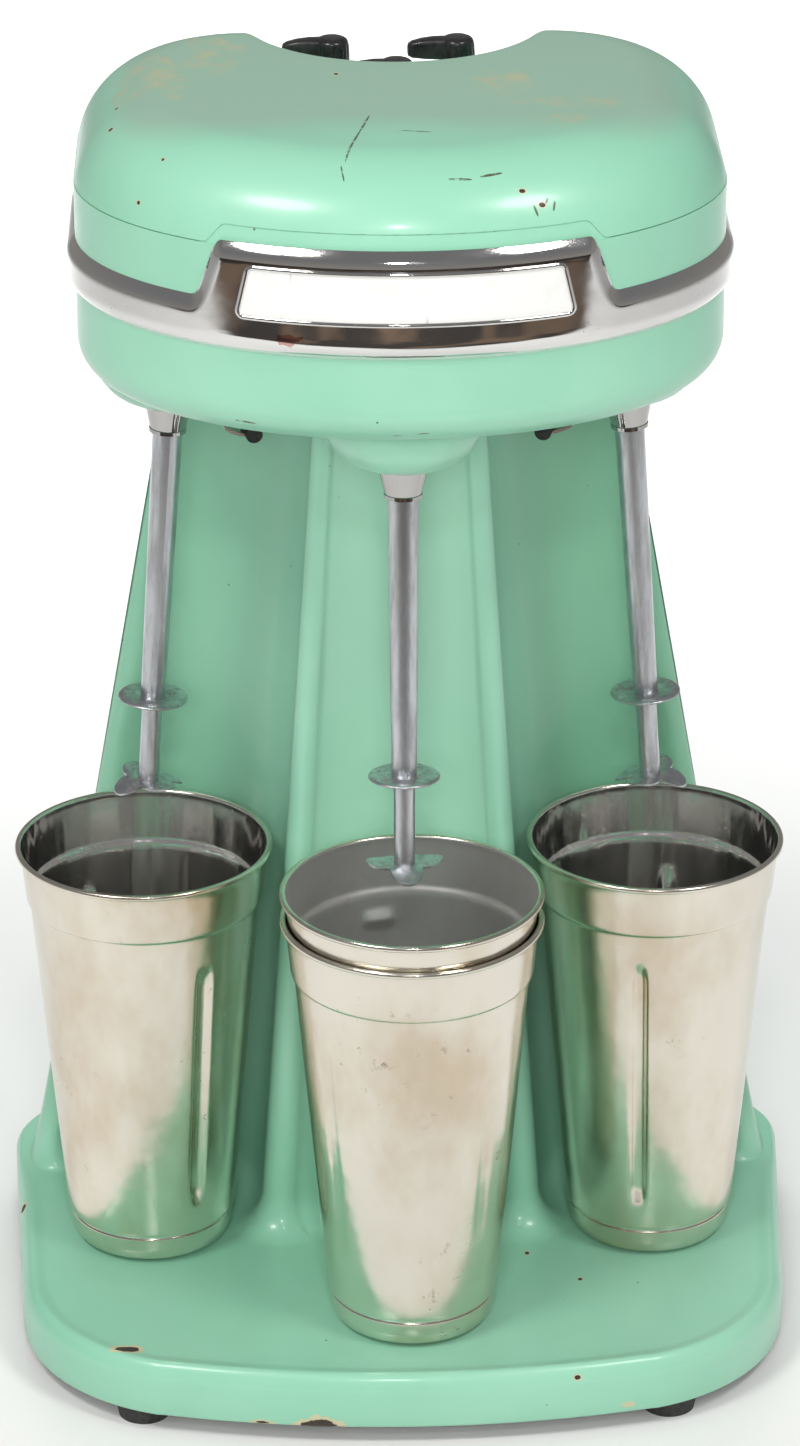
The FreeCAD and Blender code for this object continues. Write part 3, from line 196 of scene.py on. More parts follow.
STAINS = [
    ((-95.9, 8.5, 531.0), (14.0, 26.0, 9.0)), ((-73.0, 35.1, 534.0), (12.0, 24.0, 6.0)),
    ((39.6, -0.6, 534.0), (11.0, 16.0, 6.0)), ((65.2, -26.6, 534.0), (22.0, 6.0, 5.0)),
    ((62.5, -47.0, 534.0), (12.0, 7.0, 5.0)),
]


def enamel(name):
    """Glossy jade enamel: slight orange peel, tone drift, specks, chips, scratches and stains, with painted shade in
    the column's side flutes and on the dome's top, and a painted lighter strip down the column's middle.

    The roughness stays over 0.28 all over, because the denoiser outlines the places where it falls below.
    """
    g = Graph(name)
    across, depth, height = g.axis("X"), g.axis("Y"), g.axis("Z")
    colour = g.mix(g.ramp(g.noise(8.0, 1.0), 0.25, 0.75), GREEN, GREEN_PALE)
    colour = g.mix(g.times(g.ramp(g.noise(26.0, 1.5), 0.35, 0.85), 0.22), colour, GREEN_DARK)
    specks = g.times(g.ramp(g.cells(52.0), 0.034, 0.018), g.ramp(g.noise(31.0, 0.0), 0.50, 0.56))
    colour = g.mix(g.times(specks, 0.85), colour, SPECK)
    normal = g.bump(g.noise(60.0, 2.0), 0.08, 0.0012)
    normal = g.bump(g.noise(520.0, 2.0), 0.04, 0.0003, normal)
    rough = g.ramp(g.noise(24.0, 3.0), 0.25, 0.8, 0.285, 0.36)

    # Painted shade: the deep back of the column's side flutes is darkened to a deeper green, more on the right than on
    # the left.
    grime_and_shade = g.times(g.band(depth, 0.022, 0.058, 0.068, 0.082), g.band(height, 0.034, 0.07, 0.41, 0.426))
    colour = g.mix(g.times(grime_and_shade, g.ramp(across, -0.02, 0.04, 0.42, 0.72)), colour, FLUTE_SHADE)
    # Painted light: the middle of the column, within about 50 mm of its centre line, is lightened towards a paler
    # green.
    centre = g.times(g.ramp(g.math("ABSOLUTE", across), 0.05, 0.02), g.band(height, 0.05, 0.12, 0.40, 0.424))
    colour = g.mix(g.times(centre, 0.6), colour, COLUMN_LIGHT)
    # Painted shade: the dome's top, behind its front roll, is darkened and greyed, and its roughness also rises there.
    drifted = g.math("ADD", depth, g.times(g.noise(22.0, 3.0), 0.02))
    top_shade = g.times(g.ramp(height, 0.525, 0.533), g.ramp(drifted, -0.062, -0.026))
    colour = g.mix(g.times(top_shade, 0.85), colour, TOP_SHADE)
    rough = g.math("ADD", rough, g.times(top_shade, 0.15))

    stain = g.most([g.spot(mm(*c), mm(*r), ragged=0.9, grain=70.0) for c, r in STAINS])
    blotch = g.times(stain, g.ramp(g.noise(110.0, 5.0, 0.7), 0.40, 0.68, 0.0, 0.75))
    colour = g.mix(blotch, colour, STAIN)
    scratch = g.most([g.spot(mm(*c), mm(*r), t, 0.25) for c, r, t in SCRATCHES])
    scratch = g.times(scratch, g.ramp(g.noise(300.0, 2.0), 0.36, 0.5, 0.15, 1.0))
    colour = g.mix(scratch, colour, SCRATCH)
    halo = g.most([g.spot(mm(*c), mm(*(v * 1.45 for v in r)), ragged=0.5) for c, r in BARE_CHIPS])
    bare = g.most([g.spot(mm(*c), mm(*r), ragged=0.42) for c, r in BARE_CHIPS])
    colour = g.mix(halo, colour, PRIMER)
    colour = g.mix(bare, colour, g.mix(g.noise(500.0, 4.0), RUST_DARK, RUST))
    rough = g.math("ADD", rough, g.times(bare, 0.5), clamp=True)
    sunk = g.math("SUBTRACT", 1.0, g.math("MAXIMUM", bare, g.times(scratch, 0.5)))
    normal = g.bump(sunk, 0.9, 0.0004, normal)
    return g.finish(Base_Color=colour, Roughness=rough, Normal=normal, Coat_Weight=0.25, Coat_Roughness=0.12,
                    Specular_IOR_Level=0.5)


def steel(name, tint=STEEL, rough=(0.13, 0.30), lines=26.0, stain=0.35, stain_colour=(0.42, 0.35, 0.27),
          line_bump=0.05, dents=0.0, flats=0.0):
    """Worn bright metal: fine drawn lines, wipe marks, drying stains, shallow dents and upright flats.

    Lines says how much finer the grain is along Z than across it. Below 1 it runs upright, above 1 it runs round.
    """
    g = Graph(name)
    fine = g.noise(90.0, 5.0, 0.7, g.scaled((1.0, 1.0, lines)))
    wipe = g.noise(11.0, 6.0, 0.65, distortion=0.6)
    spots = g.times(g.ramp(g.noise(150.0, 5.0, 0.7), 0.60, 0.72), g.ramp(g.noise(24.0, 2.0), 0.5, 0.68))
    film = g.ramp(g.noise(17.0, 5.0, 0.6, g.scaled((1.0, 1.0, 0.6))), 0.42, 0.72)
    colour = g.mix(g.times(film, stain), tint, stain_colour)
    colour = g.mix(g.times(spots, 0.6 * stain + 0.1), colour, DRIED)
    value = g.math("ADD", g.ramp(wipe, 0.3, 0.75, *rough), g.times(fine, 0.06))
    value = g.math("ADD", value, g.times(spots, 0.25), clamp=True)
    normal = g.bump(fine, line_bump, 0.0002)
    if dents:
        normal = g.bump(g.noise(42.0, 2.0), dents, 0.0016, normal)
    if flats:
        normal = g.bump(g.noise(75.0, 2.0, 0.5, g.scaled((1.0, 1.0, 0.06))), flats, 0.0016, normal)
    return g.finish(Base_Color=colour, Metallic=1.0, Roughness=value, Normal=normal)


def chrome(name, tint=CHROME, stain=0.12):
    """Old chrome: mirror-like with pits, smears and a smudge of red paint under the badge."""
    g = Graph(name)
    pits = g.times(g.ramp(g.cells(620.0), 0.16, 0.08), g.ramp(g.noise(45.0, 3.0), 0.52, 0.66))
    smear = g.noise(26.0, 5.0, 0.65, g.scaled((1.0, 1.0, 2.4)))
    colour = g.mix(g.times(g.ramp(smear, 0.5, 0.8), stain), tint, SMEARED)
    colour = g.mix(g.times(pits, 0.75), colour, PIT)
    red = g.spot(mm(-45.0, -113.5, 470.1), mm(5.5, 4.0, 2.6), ragged=0.8, grain=300.0)
    colour = g.mix(g.times(red, 0.6), colour, RED_PAINT)
    rough = g.math("ADD", g.ramp(smear, 0.35, 0.8, 0.04, 0.15), g.times(pits, 0.35), clamp=True)
    normal = g.bump(g.noise(55.0, 2.0), 0.07, 0.001)
    normal = g.bump(pits, -0.2, 0.0002, normal)
    return g.finish(Base_Color=colour, Metallic=1.0, Roughness=rough, Normal=normal)


def rusted_spindle(name, levels):
    """Bright spindle steel that browns near some levels. A level is (height, reach) in millimetres."""
    g = Graph(name)
    height = g.axis("Z")
    fine = g.noise(240.0, 5.0, 0.7, g.scaled((1.0, 1.0, 0.16)))
    colour = g.mix(g.ramp(fine, 0.35, 0.75), (0.68, 0.70, 0.73), (0.46, 0.47, 0.49))
    masks = []
    for level, reach in levels:
        distance = g.math("ABSOLUTE", g.math("SUBTRACT", height, level * MM))
        masks.append(g.ramp(distance, reach * MM, 0.0))
    rust = g.times(g.most(masks), g.ramp(g.noise(330.0, 5.0, 0.7), 0.48, 0.70, 0.0, 0.7))
    colour = g.mix(rust, colour, (0.20, 0.12, 0.075))
    rough = g.math("ADD", g.ramp(fine, 0.3, 0.8, 0.30, 0.42), g.times(rust, 0.3), clamp=True)
    return g.finish(Base_Color=colour, Metallic=g.ramp(rust, 0.0, 1.0, 1.0, 0.35), Roughness=rough,
                    Normal=g.bump(fine, 0.12, 0.0002))


def plain(name, dark, light, rough, grain, metallic=0.0, bump=0.15, coat=0.0):
    """A two-tone mottled finish for rubber, plastic, castings and windings."""
    g = Graph(name)
    mottled = g.noise(grain, 5.0, 0.65)
    broad = g.noise(grain * 0.13, 3.0)
    colour = g.mix(g.ramp(g.math("ADD", mottled, g.times(broad, 0.5)), 0.5, 1.0), dark, light)
    value = g.ramp(broad, 0.3, 0.75, *rough)
    return g.finish(Base_Color=colour, Roughness=value, Metallic=metallic, Coat_Weight=coat, Coat_Roughness=0.08,
                    Normal=g.bump(mottled, bump, 0.0003))


def badge_enamel(name):
    """White enamel with hairline marks and a grey edge of grime."""
    g = Graph(name)
    hair = g.ramp(g.noise(200.0, 3.0, 0.6, g.scaled((1.0, 1.0, 0.12), (0.0, 0.5, 0.0))), 0.66, 0.72)
    grime_and_shade = g.ramp(g.noise(70.0, 5.0, 0.7), 0.5, 0.8)
    colour = g.mix(g.times(grime_and_shade, 0.25), (0.80, 0.80, 0.785), (0.58, 0.56, 0.51))
    colour = g.mix(g.times(hair, 0.5), colour, (0.40, 0.38, 0.34))
    return g.finish(Base_Color=colour, Roughness=g.ramp(grime_and_shade, 0.0, 1.0, 0.16, 0.32), Coat_Weight=0.3,
                    Coat_Roughness=0.05, Normal=g.bump(g.noise(120.0, 2.0), 0.05, 0.0004))


def wound_copper(name):
    """Varnished copper wire: close turns round the axis."""
    g = Graph(name)
    turns = g.add("TexWave", {"Vector": g.place, "Scale": 190.0, "Distortion": 1.2}, wave_type="BANDS",
                  bands_direction="Z", wave_profile="SIN").outputs["Fac"]
    shade = g.mix(turns, (0.16, 0.05, 0.02), (0.55, 0.22, 0.10))
    return g.finish(Base_Color=shade, Metallic=0.85, Roughness=0.35, Normal=g.bump(turns, 0.6, 0.0005))


MATERIALS = {
    "enamel": enamel("enamel_worn"),
    "zinc_sheet": plain("zinc_sheet", (0.34, 0.35, 0.35), (0.58, 0.59, 0.58), (0.32, 0.5), 260.0, 0.9),
    "rubber": plain("rubber_black", (0.012, 0.012, 0.013), (0.045, 0.044, 0.042), (0.55, 0.8), 420.0, bump=0.3),
    "steel_screws": steel("nickel_screws", (0.55, 0.54, 0.52), (0.25, 0.42), stain=0.5),
    "dark_screws": plain("black_screws", (0.015, 0.014, 0.013), (0.09, 0.075, 0.06), (0.35, 0.6), 500.0, 0.5),
    "chrome_trim": chrome("chrome_worn"),
    "badge_white": badge_enamel("badge_enamel"),
    "phenolic": plain("phenolic_brown", (0.035, 0.018, 0.012), (0.10, 0.055, 0.035), (0.3, 0.5), 300.0),
    "motor_iron": plain("motor_iron", (0.05, 0.05, 0.055), (0.17, 0.165, 0.16), (0.45, 0.7), 240.0, 0.6, 0.3),
    "copper_winding": wound_copper("copper_wire"),
    "bronze": plain("sintered_bronze", (0.30, 0.19, 0.08), (0.60, 0.43, 0.22), (0.3, 0.5), 600.0, 1.0),
    "collar_metal": chrome("collar_plate", (0.50, 0.49, 0.48), 0.5),
    "spindle_steel": rusted_spindle("spindle_steel", [(271.0, 9.0), (236.0, 9.0)]),
    "fan_metal": plain("fan_metal", (0.45, 0.45, 0.46), (0.7, 0.7, 0.71), (0.3, 0.45), 200.0, 1.0),
    "knob_plastic": plain("knob_plastic", (0.008, 0.008, 0.009), (0.028, 0.027, 0.027), (0.22, 0.4), 340.0, coat=0.2),
    "lever_steel": steel("lever_steel", (0.62, 0.53, 0.48), (0.16, 0.3), stain=0.5),
    "lever_rubber": plain("lever_rubber", (0.01, 0.01, 0.011), (0.04, 0.038, 0.036), (0.5, 0.75), 480.0, bump=0.3),
    "cup_steel": steel("cup_steel", (0.80, 0.755, 0.67), (0.12, 0.24), 0.12, 0.7, (0.58, 0.45, 0.30), 0.25, 0.28),
}
CUP_INSIDE = steel("cup_inside", (0.96, 0.95, 0.93), (0.08, 0.16), 0.2, 0.25, (0.60, 0.55, 0.48), 0.12, flats=0.9)
CUP_SATIN = steel("cup_satin", (0.84, 0.83, 0.82), (0.36, 0.46), 14.0, 0.3, (0.52, 0.48, 0.43), 0.12)
SLOTS = {row["node"]: row["material_slot"] for row in RECORD["subparts"]}
BODY_OF = {n: body for body, nodes in RECORD["behaviour"]["bodies"].items() for n in nodes}

for node_name, node_object in frame["nodes"].items():
    if not node_object.material_slots:
        node_object.data.materials.append(None)
    for material_slot in node_object.material_slots:
        material_slot.material = MATERIALS[SLOTS[node_name]]


# ---- mesh helpers


def piece(name, verts, faces, node, sharp=None, merge=0.01, second=None):
    """A smooth mesh in millimetres that stands for one CAD node.

    Vertices nearer to each other than merge are joined, and edges over the angle sharp, in degrees, stay sharp.
    Second is a second material and the index of the first face that wears it.
    """
    mesh = bpy.data.meshes.new(name)
    mesh.from_pydata([mm(*v) for v in verts], [], faces)
    mesh.update()
    made = bpy.data.objects.new(name, mesh)
    bpy.context.scene.collection.objects.link(made)
    slot = SLOTS[node]
    mesh.materials.append(MATERIALS[slot])
    for face in mesh.polygons:
        face.use_smooth = True
    if second:
        mesh.materials.append(second[0])
        for face in mesh.polygons[second[1]:]:
            face.material_index = 1
    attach(made, BODY_OF[node])
    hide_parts(node)
    work = bmesh.new()
    work.from_mesh(mesh)
    bmesh.ops.remove_doubles(work, verts=work.verts, dist=merge * MM)
    bmesh.ops.recalc_face_normals(work, faces=work.faces)
    work.to_mesh(mesh)
    work.free()
    if sharp:
        mesh.set_sharp_from_angle(angle=math.radians(sharp))


def rings_to_faces(ring_count, size, first=0, closed=True, wrap=False):
    """Quads between consecutive rings of equal size, and from the last ring to the first if they wrap."""
    faces = []
    for i in range(ring_count if wrap else ring_count - 1):
        low, high = first + i * size, first + (i + 1) % ring_count * size
        for j in range(size if closed else size - 1):
            k = (j + 1) % size
            faces.append((low + j, low + k, high + k, high + j))
    return faces


def angle_between(first, second):
    """The turn from the second angle to the first, within half a turn either way."""
    return (first - second + math.pi) % TAU - math.pi


# ---- stand: base and column

BASE = {"front": 123.5, "radius": 420.0, "front_half": 154.5, "rear_half": 168.0, "front_corner": 82.0,
        "rear_corner": 35.0}
DECK = 30.0
# The base's side, from the deck to the inside of its lower lip: inset, height, share of the raised rim.
RIM = [(11.0, DECK, 0.0), (9.0, DECK, 0.22), (7.2, DECK, 0.7), (5.6, DECK, 1.05), (4.4, DECK, 1.15), (3.2, 29.6, 0.9),
       (2.1, 28.8, 0.5), (1.2, 27.7, 0.2), (0.55, 26.4, 0.0), (0.15, 25.0, 0.0), (0.0, 23.4, 0.0), (0.0, 16.0, 0.0),
       (0.0, 9.4, 0.0), (0.35, 8.5, 0.0), (0.9, 8.05, 0.0), (1.5, 8.1, 0.0), (1.8, 8.6, 0.0), (1.9, 11.3, 0.0)]
COLUMN_TOP = 426.0
COLUMN_REAR = 98.5
COLUMN_HALF, FLUTE_PLACE, RIDGE_HALF = (157.0, 0.178), (117.4, 0.0714), (44.0, 0.05)  # at the deck, and loss per mm
FLUTE_RADIUS = 58.0
COLUMN_FRONT = 11.5
REAR_ROUND = 24.0
EDGE_ROUND = 8.0


def corner_arc(before, corner, after, radius, count):
    """Points of the arc that rounds one corner."""
    before, corner, after = (np.array(p, float) for p in (before, corner, after))
    a = (before - corner) / np.linalg.norm(before - corner)
    b = (after - corner) / np.linalg.norm(after - corner)
    half = 0.5 * math.acos(float(a @ b))
    start = corner + a * radius / math.tan(half)
    end = corner + b * radius / math.tan(half)
    middle = corner + (a + b) / np.linalg.norm(a + b) * radius / math.sin(half)
    t0 = math.atan2(*(start - middle)[::-1])
    t1 = math.atan2(*(end - middle)[::-1])
    angles = t0 + angle_between(t1, t0) * np.linspace(0, 1, count)
    return [tuple(middle + radius * np.array([math.cos(t), math.sin(t)])) for t in angles]


def resample(points, count, closed=True):
    """A curve's points, evenly spaced along it."""
    line = np.array([*points, points[0]] if closed else points, float)
    run = np.concatenate([[0], np.cumsum(np.linalg.norm(np.diff(line, axis=0), axis=1))])
    where = np.linspace(0, run[-1], count, endpoint=not closed)
    return np.stack([np.interp(where, run, line[:, k]) for k in range(2)], 1)


def with_left_half(right, count):
    """A closed plan from its right half, which runs from the front to the back."""
    return resample(right + [(-x, y) for x, y in right[::-1]][:-1], count)


def base_outline(count=420):
    """The base's plan, anticlockwise from the middle of the front."""
    radius = BASE["radius"]
    reach = math.asin(BASE["front_half"] / radius)
    arc = [(radius * math.sin(t), -BASE["front"] + radius - radius * math.cos(t)) for t in np.linspace(0, reach, 60)]
    corner = arc[-1]
    rear = (BASE["rear_half"], BASE["front"])
    front_round = corner_arc(arc[-20], corner, rear, BASE["front_corner"], 30)
    rear_round = corner_arc(corner, rear, (-rear[0], rear[1]), BASE["rear_corner"], 20)
    return with_left_half([p for p in arc if p[0] < front_round[0][0] - 1] + front_round + rear_round, count)


def normals(ring):
    """Outward normals of an anticlockwise closed curve."""
    tangent = np.roll(ring, -1, axis=0) - np.roll(ring, 1, axis=0)
    tangent /= np.linalg.norm(tangent, axis=1)[:, None]
    return np.stack([tangent[:, 1], -tangent[:, 0]], 1)


def arc_points(start, middle, end, count):
    """Points of a circular arc through three points, without its last point."""
    (ax, ay), (bx, by), (cx, cy) = start, middle, end
    d = 2 * (ax * (by - cy) + bx * (cy - ay) + cx * (ay - by))
    ux = ((ax**2 + ay**2) * (by - cy) + (bx**2 + by**2) * (cy - ay) + (cx**2 + cy**2) * (ay - by)) / d
    uy = ((ax**2 + ay**2) * (cx - bx) + (bx**2 + by**2) * (ax - cx) + (cx**2 + cy**2) * (bx - ax)) / d
    radius = math.hypot(ax - ux, ay - uy)
    t0, tm, t1 = (math.atan2(y - uy, x - ux) for x, y in (start, middle, end))
    turn = (t1 - t0) % TAU
    if (tm - t0) % TAU > turn:
        turn -= TAU
    angles = [t0 + turn * s / count for s in range(count)]
    return [(ux + radius * math.cos(t), uy + radius * math.sin(t)) for t in angles]


def line_points(start, end, count):
    """Points of a straight run without its last point."""
    return [tuple(np.array(start) + (np.array(end) - np.array(start)) * s / count) for s in range(count)]


def column_plan(level):
    """The column's plan at a height, anticlockwise from the middle of its front."""
    half, flute, ridge = (size - loss * (level - DECK) for size, loss in (COLUMN_HALF, FLUTE_PLACE, RIDGE_HALF))
    nose_x = flute - math.sqrt(FLUTE_RADIUS**2 - 4.0**2)
    edge_x = half - EDGE_ROUND
    middle = 0.5 * (nose_x + edge_x)
    edge_y, middle_y = (COLUMN_FRONT + math.sqrt(FLUTE_RADIUS**2 - (x - flute) ** 2) for x in (edge_x, middle))
    turn, rear_turn = ((1 - math.sqrt(0.5)) * r for r in (EDGE_ROUND, REAR_ROUND))
    rear = COLUMN_REAR
    inner = half - REAR_ROUND
    right = arc_points((0, COLUMN_FRONT), (0.5 * ridge, 9.6), (ridge, 3.5), 16)
    right += arc_points((ridge, 3.5), (0.5 * (ridge + nose_x), 0.5), (nose_x, 7.5), 12)
    right += arc_points((nose_x, 7.5), (middle, middle_y), (edge_x, edge_y), 44)
    right += arc_points((edge_x, edge_y), (half - turn, edge_y + turn), (half, edge_y + EDGE_ROUND), 8)
    right += line_points((half, edge_y + EDGE_ROUND), (half, rear - REAR_ROUND), 8)
    right += arc_points((half, rear - REAR_ROUND), (half - rear_turn, rear - rear_turn), (inner, rear), 12)
    right += line_points((inner, rear), (0, rear), 12)
    left = [(-x, y) for x, y in right[1:][::-1]]
    return np.array(right + [(0, rear)] + left)


def smooth_ring(values, passes):
    """Evens out numbers that run round a closed curve."""
    for _ in range(passes):
        values = 0.25 * np.roll(values, 1) + 0.5 * values + 0.25 * np.roll(values, -1)
    return values


def nearest(points, others):
    """Distance from each point to the nearest of some others."""
    return np.sqrt(((points[:, None, :] - others[None, :, :]) ** 2).sum(2)).min(1)


def inside(points, ring):
    """Whether each point lies inside a closed curve."""
    x, y = points[:, 0], points[:, 1]
    result = np.zeros(len(points), bool)
    for (x0, y0), (x1, y1) in zip(ring, np.roll(ring, -1, axis=0)):
        crosses = (y0 > y) != (y1 > y)
        with np.errstate(divide="ignore", invalid="ignore"):
            cut = x0 + (y - y0) * (x1 - x0) / (y1 - y0)
        result ^= crosses & (x < cut)
    return result


def column_shell(foot, deck_edge, levels=44, steps=12):
    """Rings from the column's top down to its foot, then out along the sweep into the deck."""
    at_side = np.clip((np.abs(foot[:, 0]) - 150.0) / 6.0, 0, 1)
    at_rear = foot[:, 1] > COLUMN_REAR - 0.01
    reach = smooth_ring(np.where(at_rear, 0.4, np.minimum(15.0, 0.75 * nearest(foot, deck_edge))), 5)
    rise = smooth_ring(np.where(at_rear, 0.4, 16.0 + 26.0 * at_side), 5)
    plans = {}

    def place(level, index):
        key = round(level, 3)
        if key not in plans:
            plans[key] = column_plan(key)
        return plans[key][index]

    verts = []
    for k in range(levels + 1):
        for j, up in enumerate(rise):
            level = COLUMN_TOP + (DECK + up - COLUMN_TOP) * (k / levels)
            verts.append((*place(level, j), level))
    out = normals(foot)
    for k in range(1, steps + 1):
        angle = 0.5 * math.pi * k / steps
        for j, up in enumerate(rise):
            level = DECK + up * (1 - math.sin(angle))
            move = reach[j] * (1 - math.cos(angle))
            verts.append((*(place(level, j) + out[j] * move), level))
    return verts


def deck_sheet(outer, hole, spacing=7.0, margin=3.5):
    """Triangles that fill the flat deck between its rim and the foot of the column."""
    grid = np.array([(x, y) for x in np.arange(-165, 166, spacing) for y in np.arange(-122, 123, spacing)])
    grid = grid[inside(grid, outer) & ~inside(grid, hole)]
    grid = grid[(nearest(grid, outer) > margin) & (nearest(grid, hole) > margin)]
    edges = [(i, (i + 1) % len(outer)) for i in range(len(outer))]
    edges += [(len(outer) + i, len(outer) + (i + 1) % len(hole)) for i in range(len(hole))]
    points = [Vector(p) for p in np.vstack([outer, hole, grid])]
    flat, _, tris, *_ = geometry.delaunay_2d_cdt(points, edges, [], 0, 1e-6)
    flat, tris = (np.array([tuple(row) for row in rows]) for rows in (flat, tris))
    middle = flat[tris].mean(axis=1)
    return flat, tris[inside(middle, outer) & ~inside(middle, hole)]


def build_stand():
    """The enamelled pressing: the column sweeps out into the deck, which has a raised rim."""
    outline = base_outline()
    out = normals(outline)
    foot = column_plan(DECK)
    gap = nearest(outline, foot)
    squeeze = smooth_ring(np.clip(gap / 17.0, 0.42, 1.0), 12)
    lip = smooth_ring(np.clip((gap - 9.0) / 14.0, 0.0, 1.0), 12)
    verts = []
    for inset, level, raised in RIM:
        moved = outline - out * (inset * squeeze)[:, None]
        verts += [(x, y, level + raised * h) for (x, y), h in zip(moved, lip)]
    count, size = len(outline), len(foot)
    faces = rings_to_faces(len(RIM), count)
    faces.append(tuple(range((len(RIM) - 1) * count, len(RIM) * count)))
    deck_edge = outline - out * (RIM[0][0] * squeeze)[:, None]

    start = len(verts)
    verts += column_shell(foot, deck_edge)
    faces += rings_to_faces((len(verts) - start) // size, size, start)
    faces.append(tuple(range(start, start + size)))
    flat, tris = deck_sheet(deck_edge, np.array([v[:2] for v in verts[-size:]]))
    first = len(verts)
    verts += [(x, y, DECK) for x, y in flat]
    faces += [tuple(int(first + i) for i in t) for t in tris]
    piece("stand_shell", verts, faces, "base_and_column", sharp=50, merge=0.04)


build_stand()


# ---- cups


def round_corners(points, radius_of, count=5):
    """An open line with its inner corners rounded."""
    result = [points[0]]
    for i in range(1, len(points) - 1):
        radius = radius_of(i)
        if radius <= 0:
            result.append(points[i])
            continue
        p0, p1, p2 = (np.array(p, float) for p in points[i - 1:i + 2])
        la, lb = np.linalg.norm(p0 - p1), np.linalg.norm(p2 - p1)
        cut = min(radius, 0.45 * la, 0.45 * lb)
        s, e = p1 + (p0 - p1) / la * cut, p1 + (p2 - p1) / lb * cut
        result += [tuple((1 - t) ** 2 * s + 2 * t * (1 - t) * p1 + t**2 * e) for t in np.linspace(0, 1, count)]
    return result + [points[-1]]


def dense(points, step):
    """A line with long runs divided."""
    result = [points[0]]
    for p, q in zip(points, points[1:]):
        runs = max(1, int(math.ceil(math.dist(p, q) / step)))
        for k in range(1, runs + 1):
            result.append(tuple(np.array(p) + (np.array(q) - np.array(p)) * k / runs))
    return result


CUP_OUTSIDE = [(0.0, 1.2), (22.0, 0.9), (25.5, 0.0), (28.5, 0.15), (31.8, 2.2), (33.45, 6.5), (33.7, 12.0),
               (33.0, 12.7), (33.1, 13.5), (34.6, 14.0), (35.0, 15.2), (47.05, 154.8), (47.25, 155.8), (48.4, 156.8),
               (48.7, 158.2), (50.5, 177.2)]
CUP_BEAD, BEAD_RADIUS = (51.45, 178.65), 1.33
CUP_WALL_INSIDE = [(49.95, 176.4), (48.1, 160.4), (47.9, 158.6), (46.9, 156.8), (46.5, 154.8), (34.5, 16.2),
                   (34.0, 14.4), (33.1, 12.6), (32.8, 6.9), (31.2, 3.0), (28.2, 1.2), (24.0, 1.3), (0.0, 1.9)]
CUP_SEGMENTS = 360
RIB_HALF = 3.1


def cup_profile(step):
    """The cup's closed wall: up the outside, over the rolled rim, down the inside."""
    outside = round_corners(CUP_OUTSIDE, lambda i: 1.4 if i < 5 else 0.45)
    bead = [(CUP_BEAD[0] + BEAD_RADIUS * math.cos(a), CUP_BEAD[1] + BEAD_RADIUS * math.sin(a))
            for a in np.radians(np.linspace(-125, 190, 22))]
    return dense(outside, step), bead, dense(round_corners(CUP_WALL_INSIDE, lambda i: 1.2), step)


def build_cup(node, ribs, dents, stamp=None):
    """A drawn cup. Ribs are pressed-in grooves (angle, depth, bottom, top), dents (angle, height, size, depth).

    A stamp is a small oblong pushed in from outside: (angle, height, half width, half height, depth).
    """
    low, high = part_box(node)
    x0, y0, z0 = 0.5 * (low[0] + high[0]) / MM, 0.5 * (low[1] + high[1]) / MM, low[2] / MM
    outside, bead, inner = cup_profile(2.4 if stamp else 4.0)
    verts = []
    for radius, height in outside + bead + inner:
        for j in range(CUP_SEGMENTS):
            angle = TAU * j / CUP_SEGMENTS
            push = 0.0
            for place, depth, bottom, top in ribs:
                beyond = max(0.0, bottom + 3.3 - height, height - top + 3.3)
                away = math.hypot(angle_between(angle, math.radians(place)) * radius, beyond) / RIB_HALF
                if away < 2:
                    push -= depth * math.exp(-(away**4))
            for place, level, spread, depth in dents:
                off = angle_between(angle, math.radians(place)) * radius
                away = (off**2 + (height - level) ** 2) / spread**2
                if away < 6:
                    push -= depth * math.exp(-away)
            if stamp:
                place, level, half_width, half_height, depth = stamp
                across = angle_between(angle, math.radians(place)) * radius / half_width
                push -= depth * math.exp(-(across**4) - ((height - level) / half_height) ** 4)
            pushed = radius + push if radius > 20 else radius
            verts.append((x0 + pushed * math.cos(angle), y0 + pushed * math.sin(angle), z0 + height))
    faces = rings_to_faces(len(verts) // CUP_SEGMENTS, CUP_SEGMENTS)
    lining = CUP_SATIN if node == "cup_inner" else CUP_INSIDE
    first_inside = (len(outside) + len(bead) - 4) * CUP_SEGMENTS
    piece(node + "_drawn", verts, faces, node, sharp=60, merge=0.005, second=(lining, first_inside))


build_cup("cup_left", [(-57.0, 2.2, 30.0, 138.0), (123.0, 2.2, 30.0, 138.0)],
          [(-110.0, 120.0, 9.0, 0.35), (-75.0, 60.0, 14.0, 0.3)])
build_cup("cup_right", [(-101.0, 2.5, 28.0, 140.0), (79.0, 2.3, 28.0, 140.0), (19.0, 2.3, 28.0, 140.0)],
          [(-62.0, 112.0, 2.2, 0.7), (-66.0, 70.0, 2.6, 0.45), (-90.0, 150.0, 4.0, 0.25)])
build_cup("cup_centre", [(-141.0, 0.5, 40.0, 138.0), (-46.0, 0.4, 50.0, 138.0)],
          [(-87.0, 92.0, 4.0, 0.5), (-80.0, 45.0, 16.0, 0.35), (-110.0, 130.0, 20.0, 0.25)])
build_cup("cup_inner", [], [(-100.0, 128.0, 3.0, 0.4)], stamp=(106.0, 146.0, 6.0, 2.6, 1.9))


# ---- chrome band and badge

HEAD_HALF, HEAD_REACH, HEAD_MIDDLE, HEAD_CORNER = 125.4, 94.0, -20.5, 66.0
BAND_BOTTOM, BAND_TOP, BAND_STEP, BAND_BEVEL = 462.6, 482.0, 23.2, 8.8
BADGE_LOW_HALF, BADGE_LOW, BADGE_HIGH_HALF, BADGE_HIGH = 64.1, 476.5, 59.6, 498.0


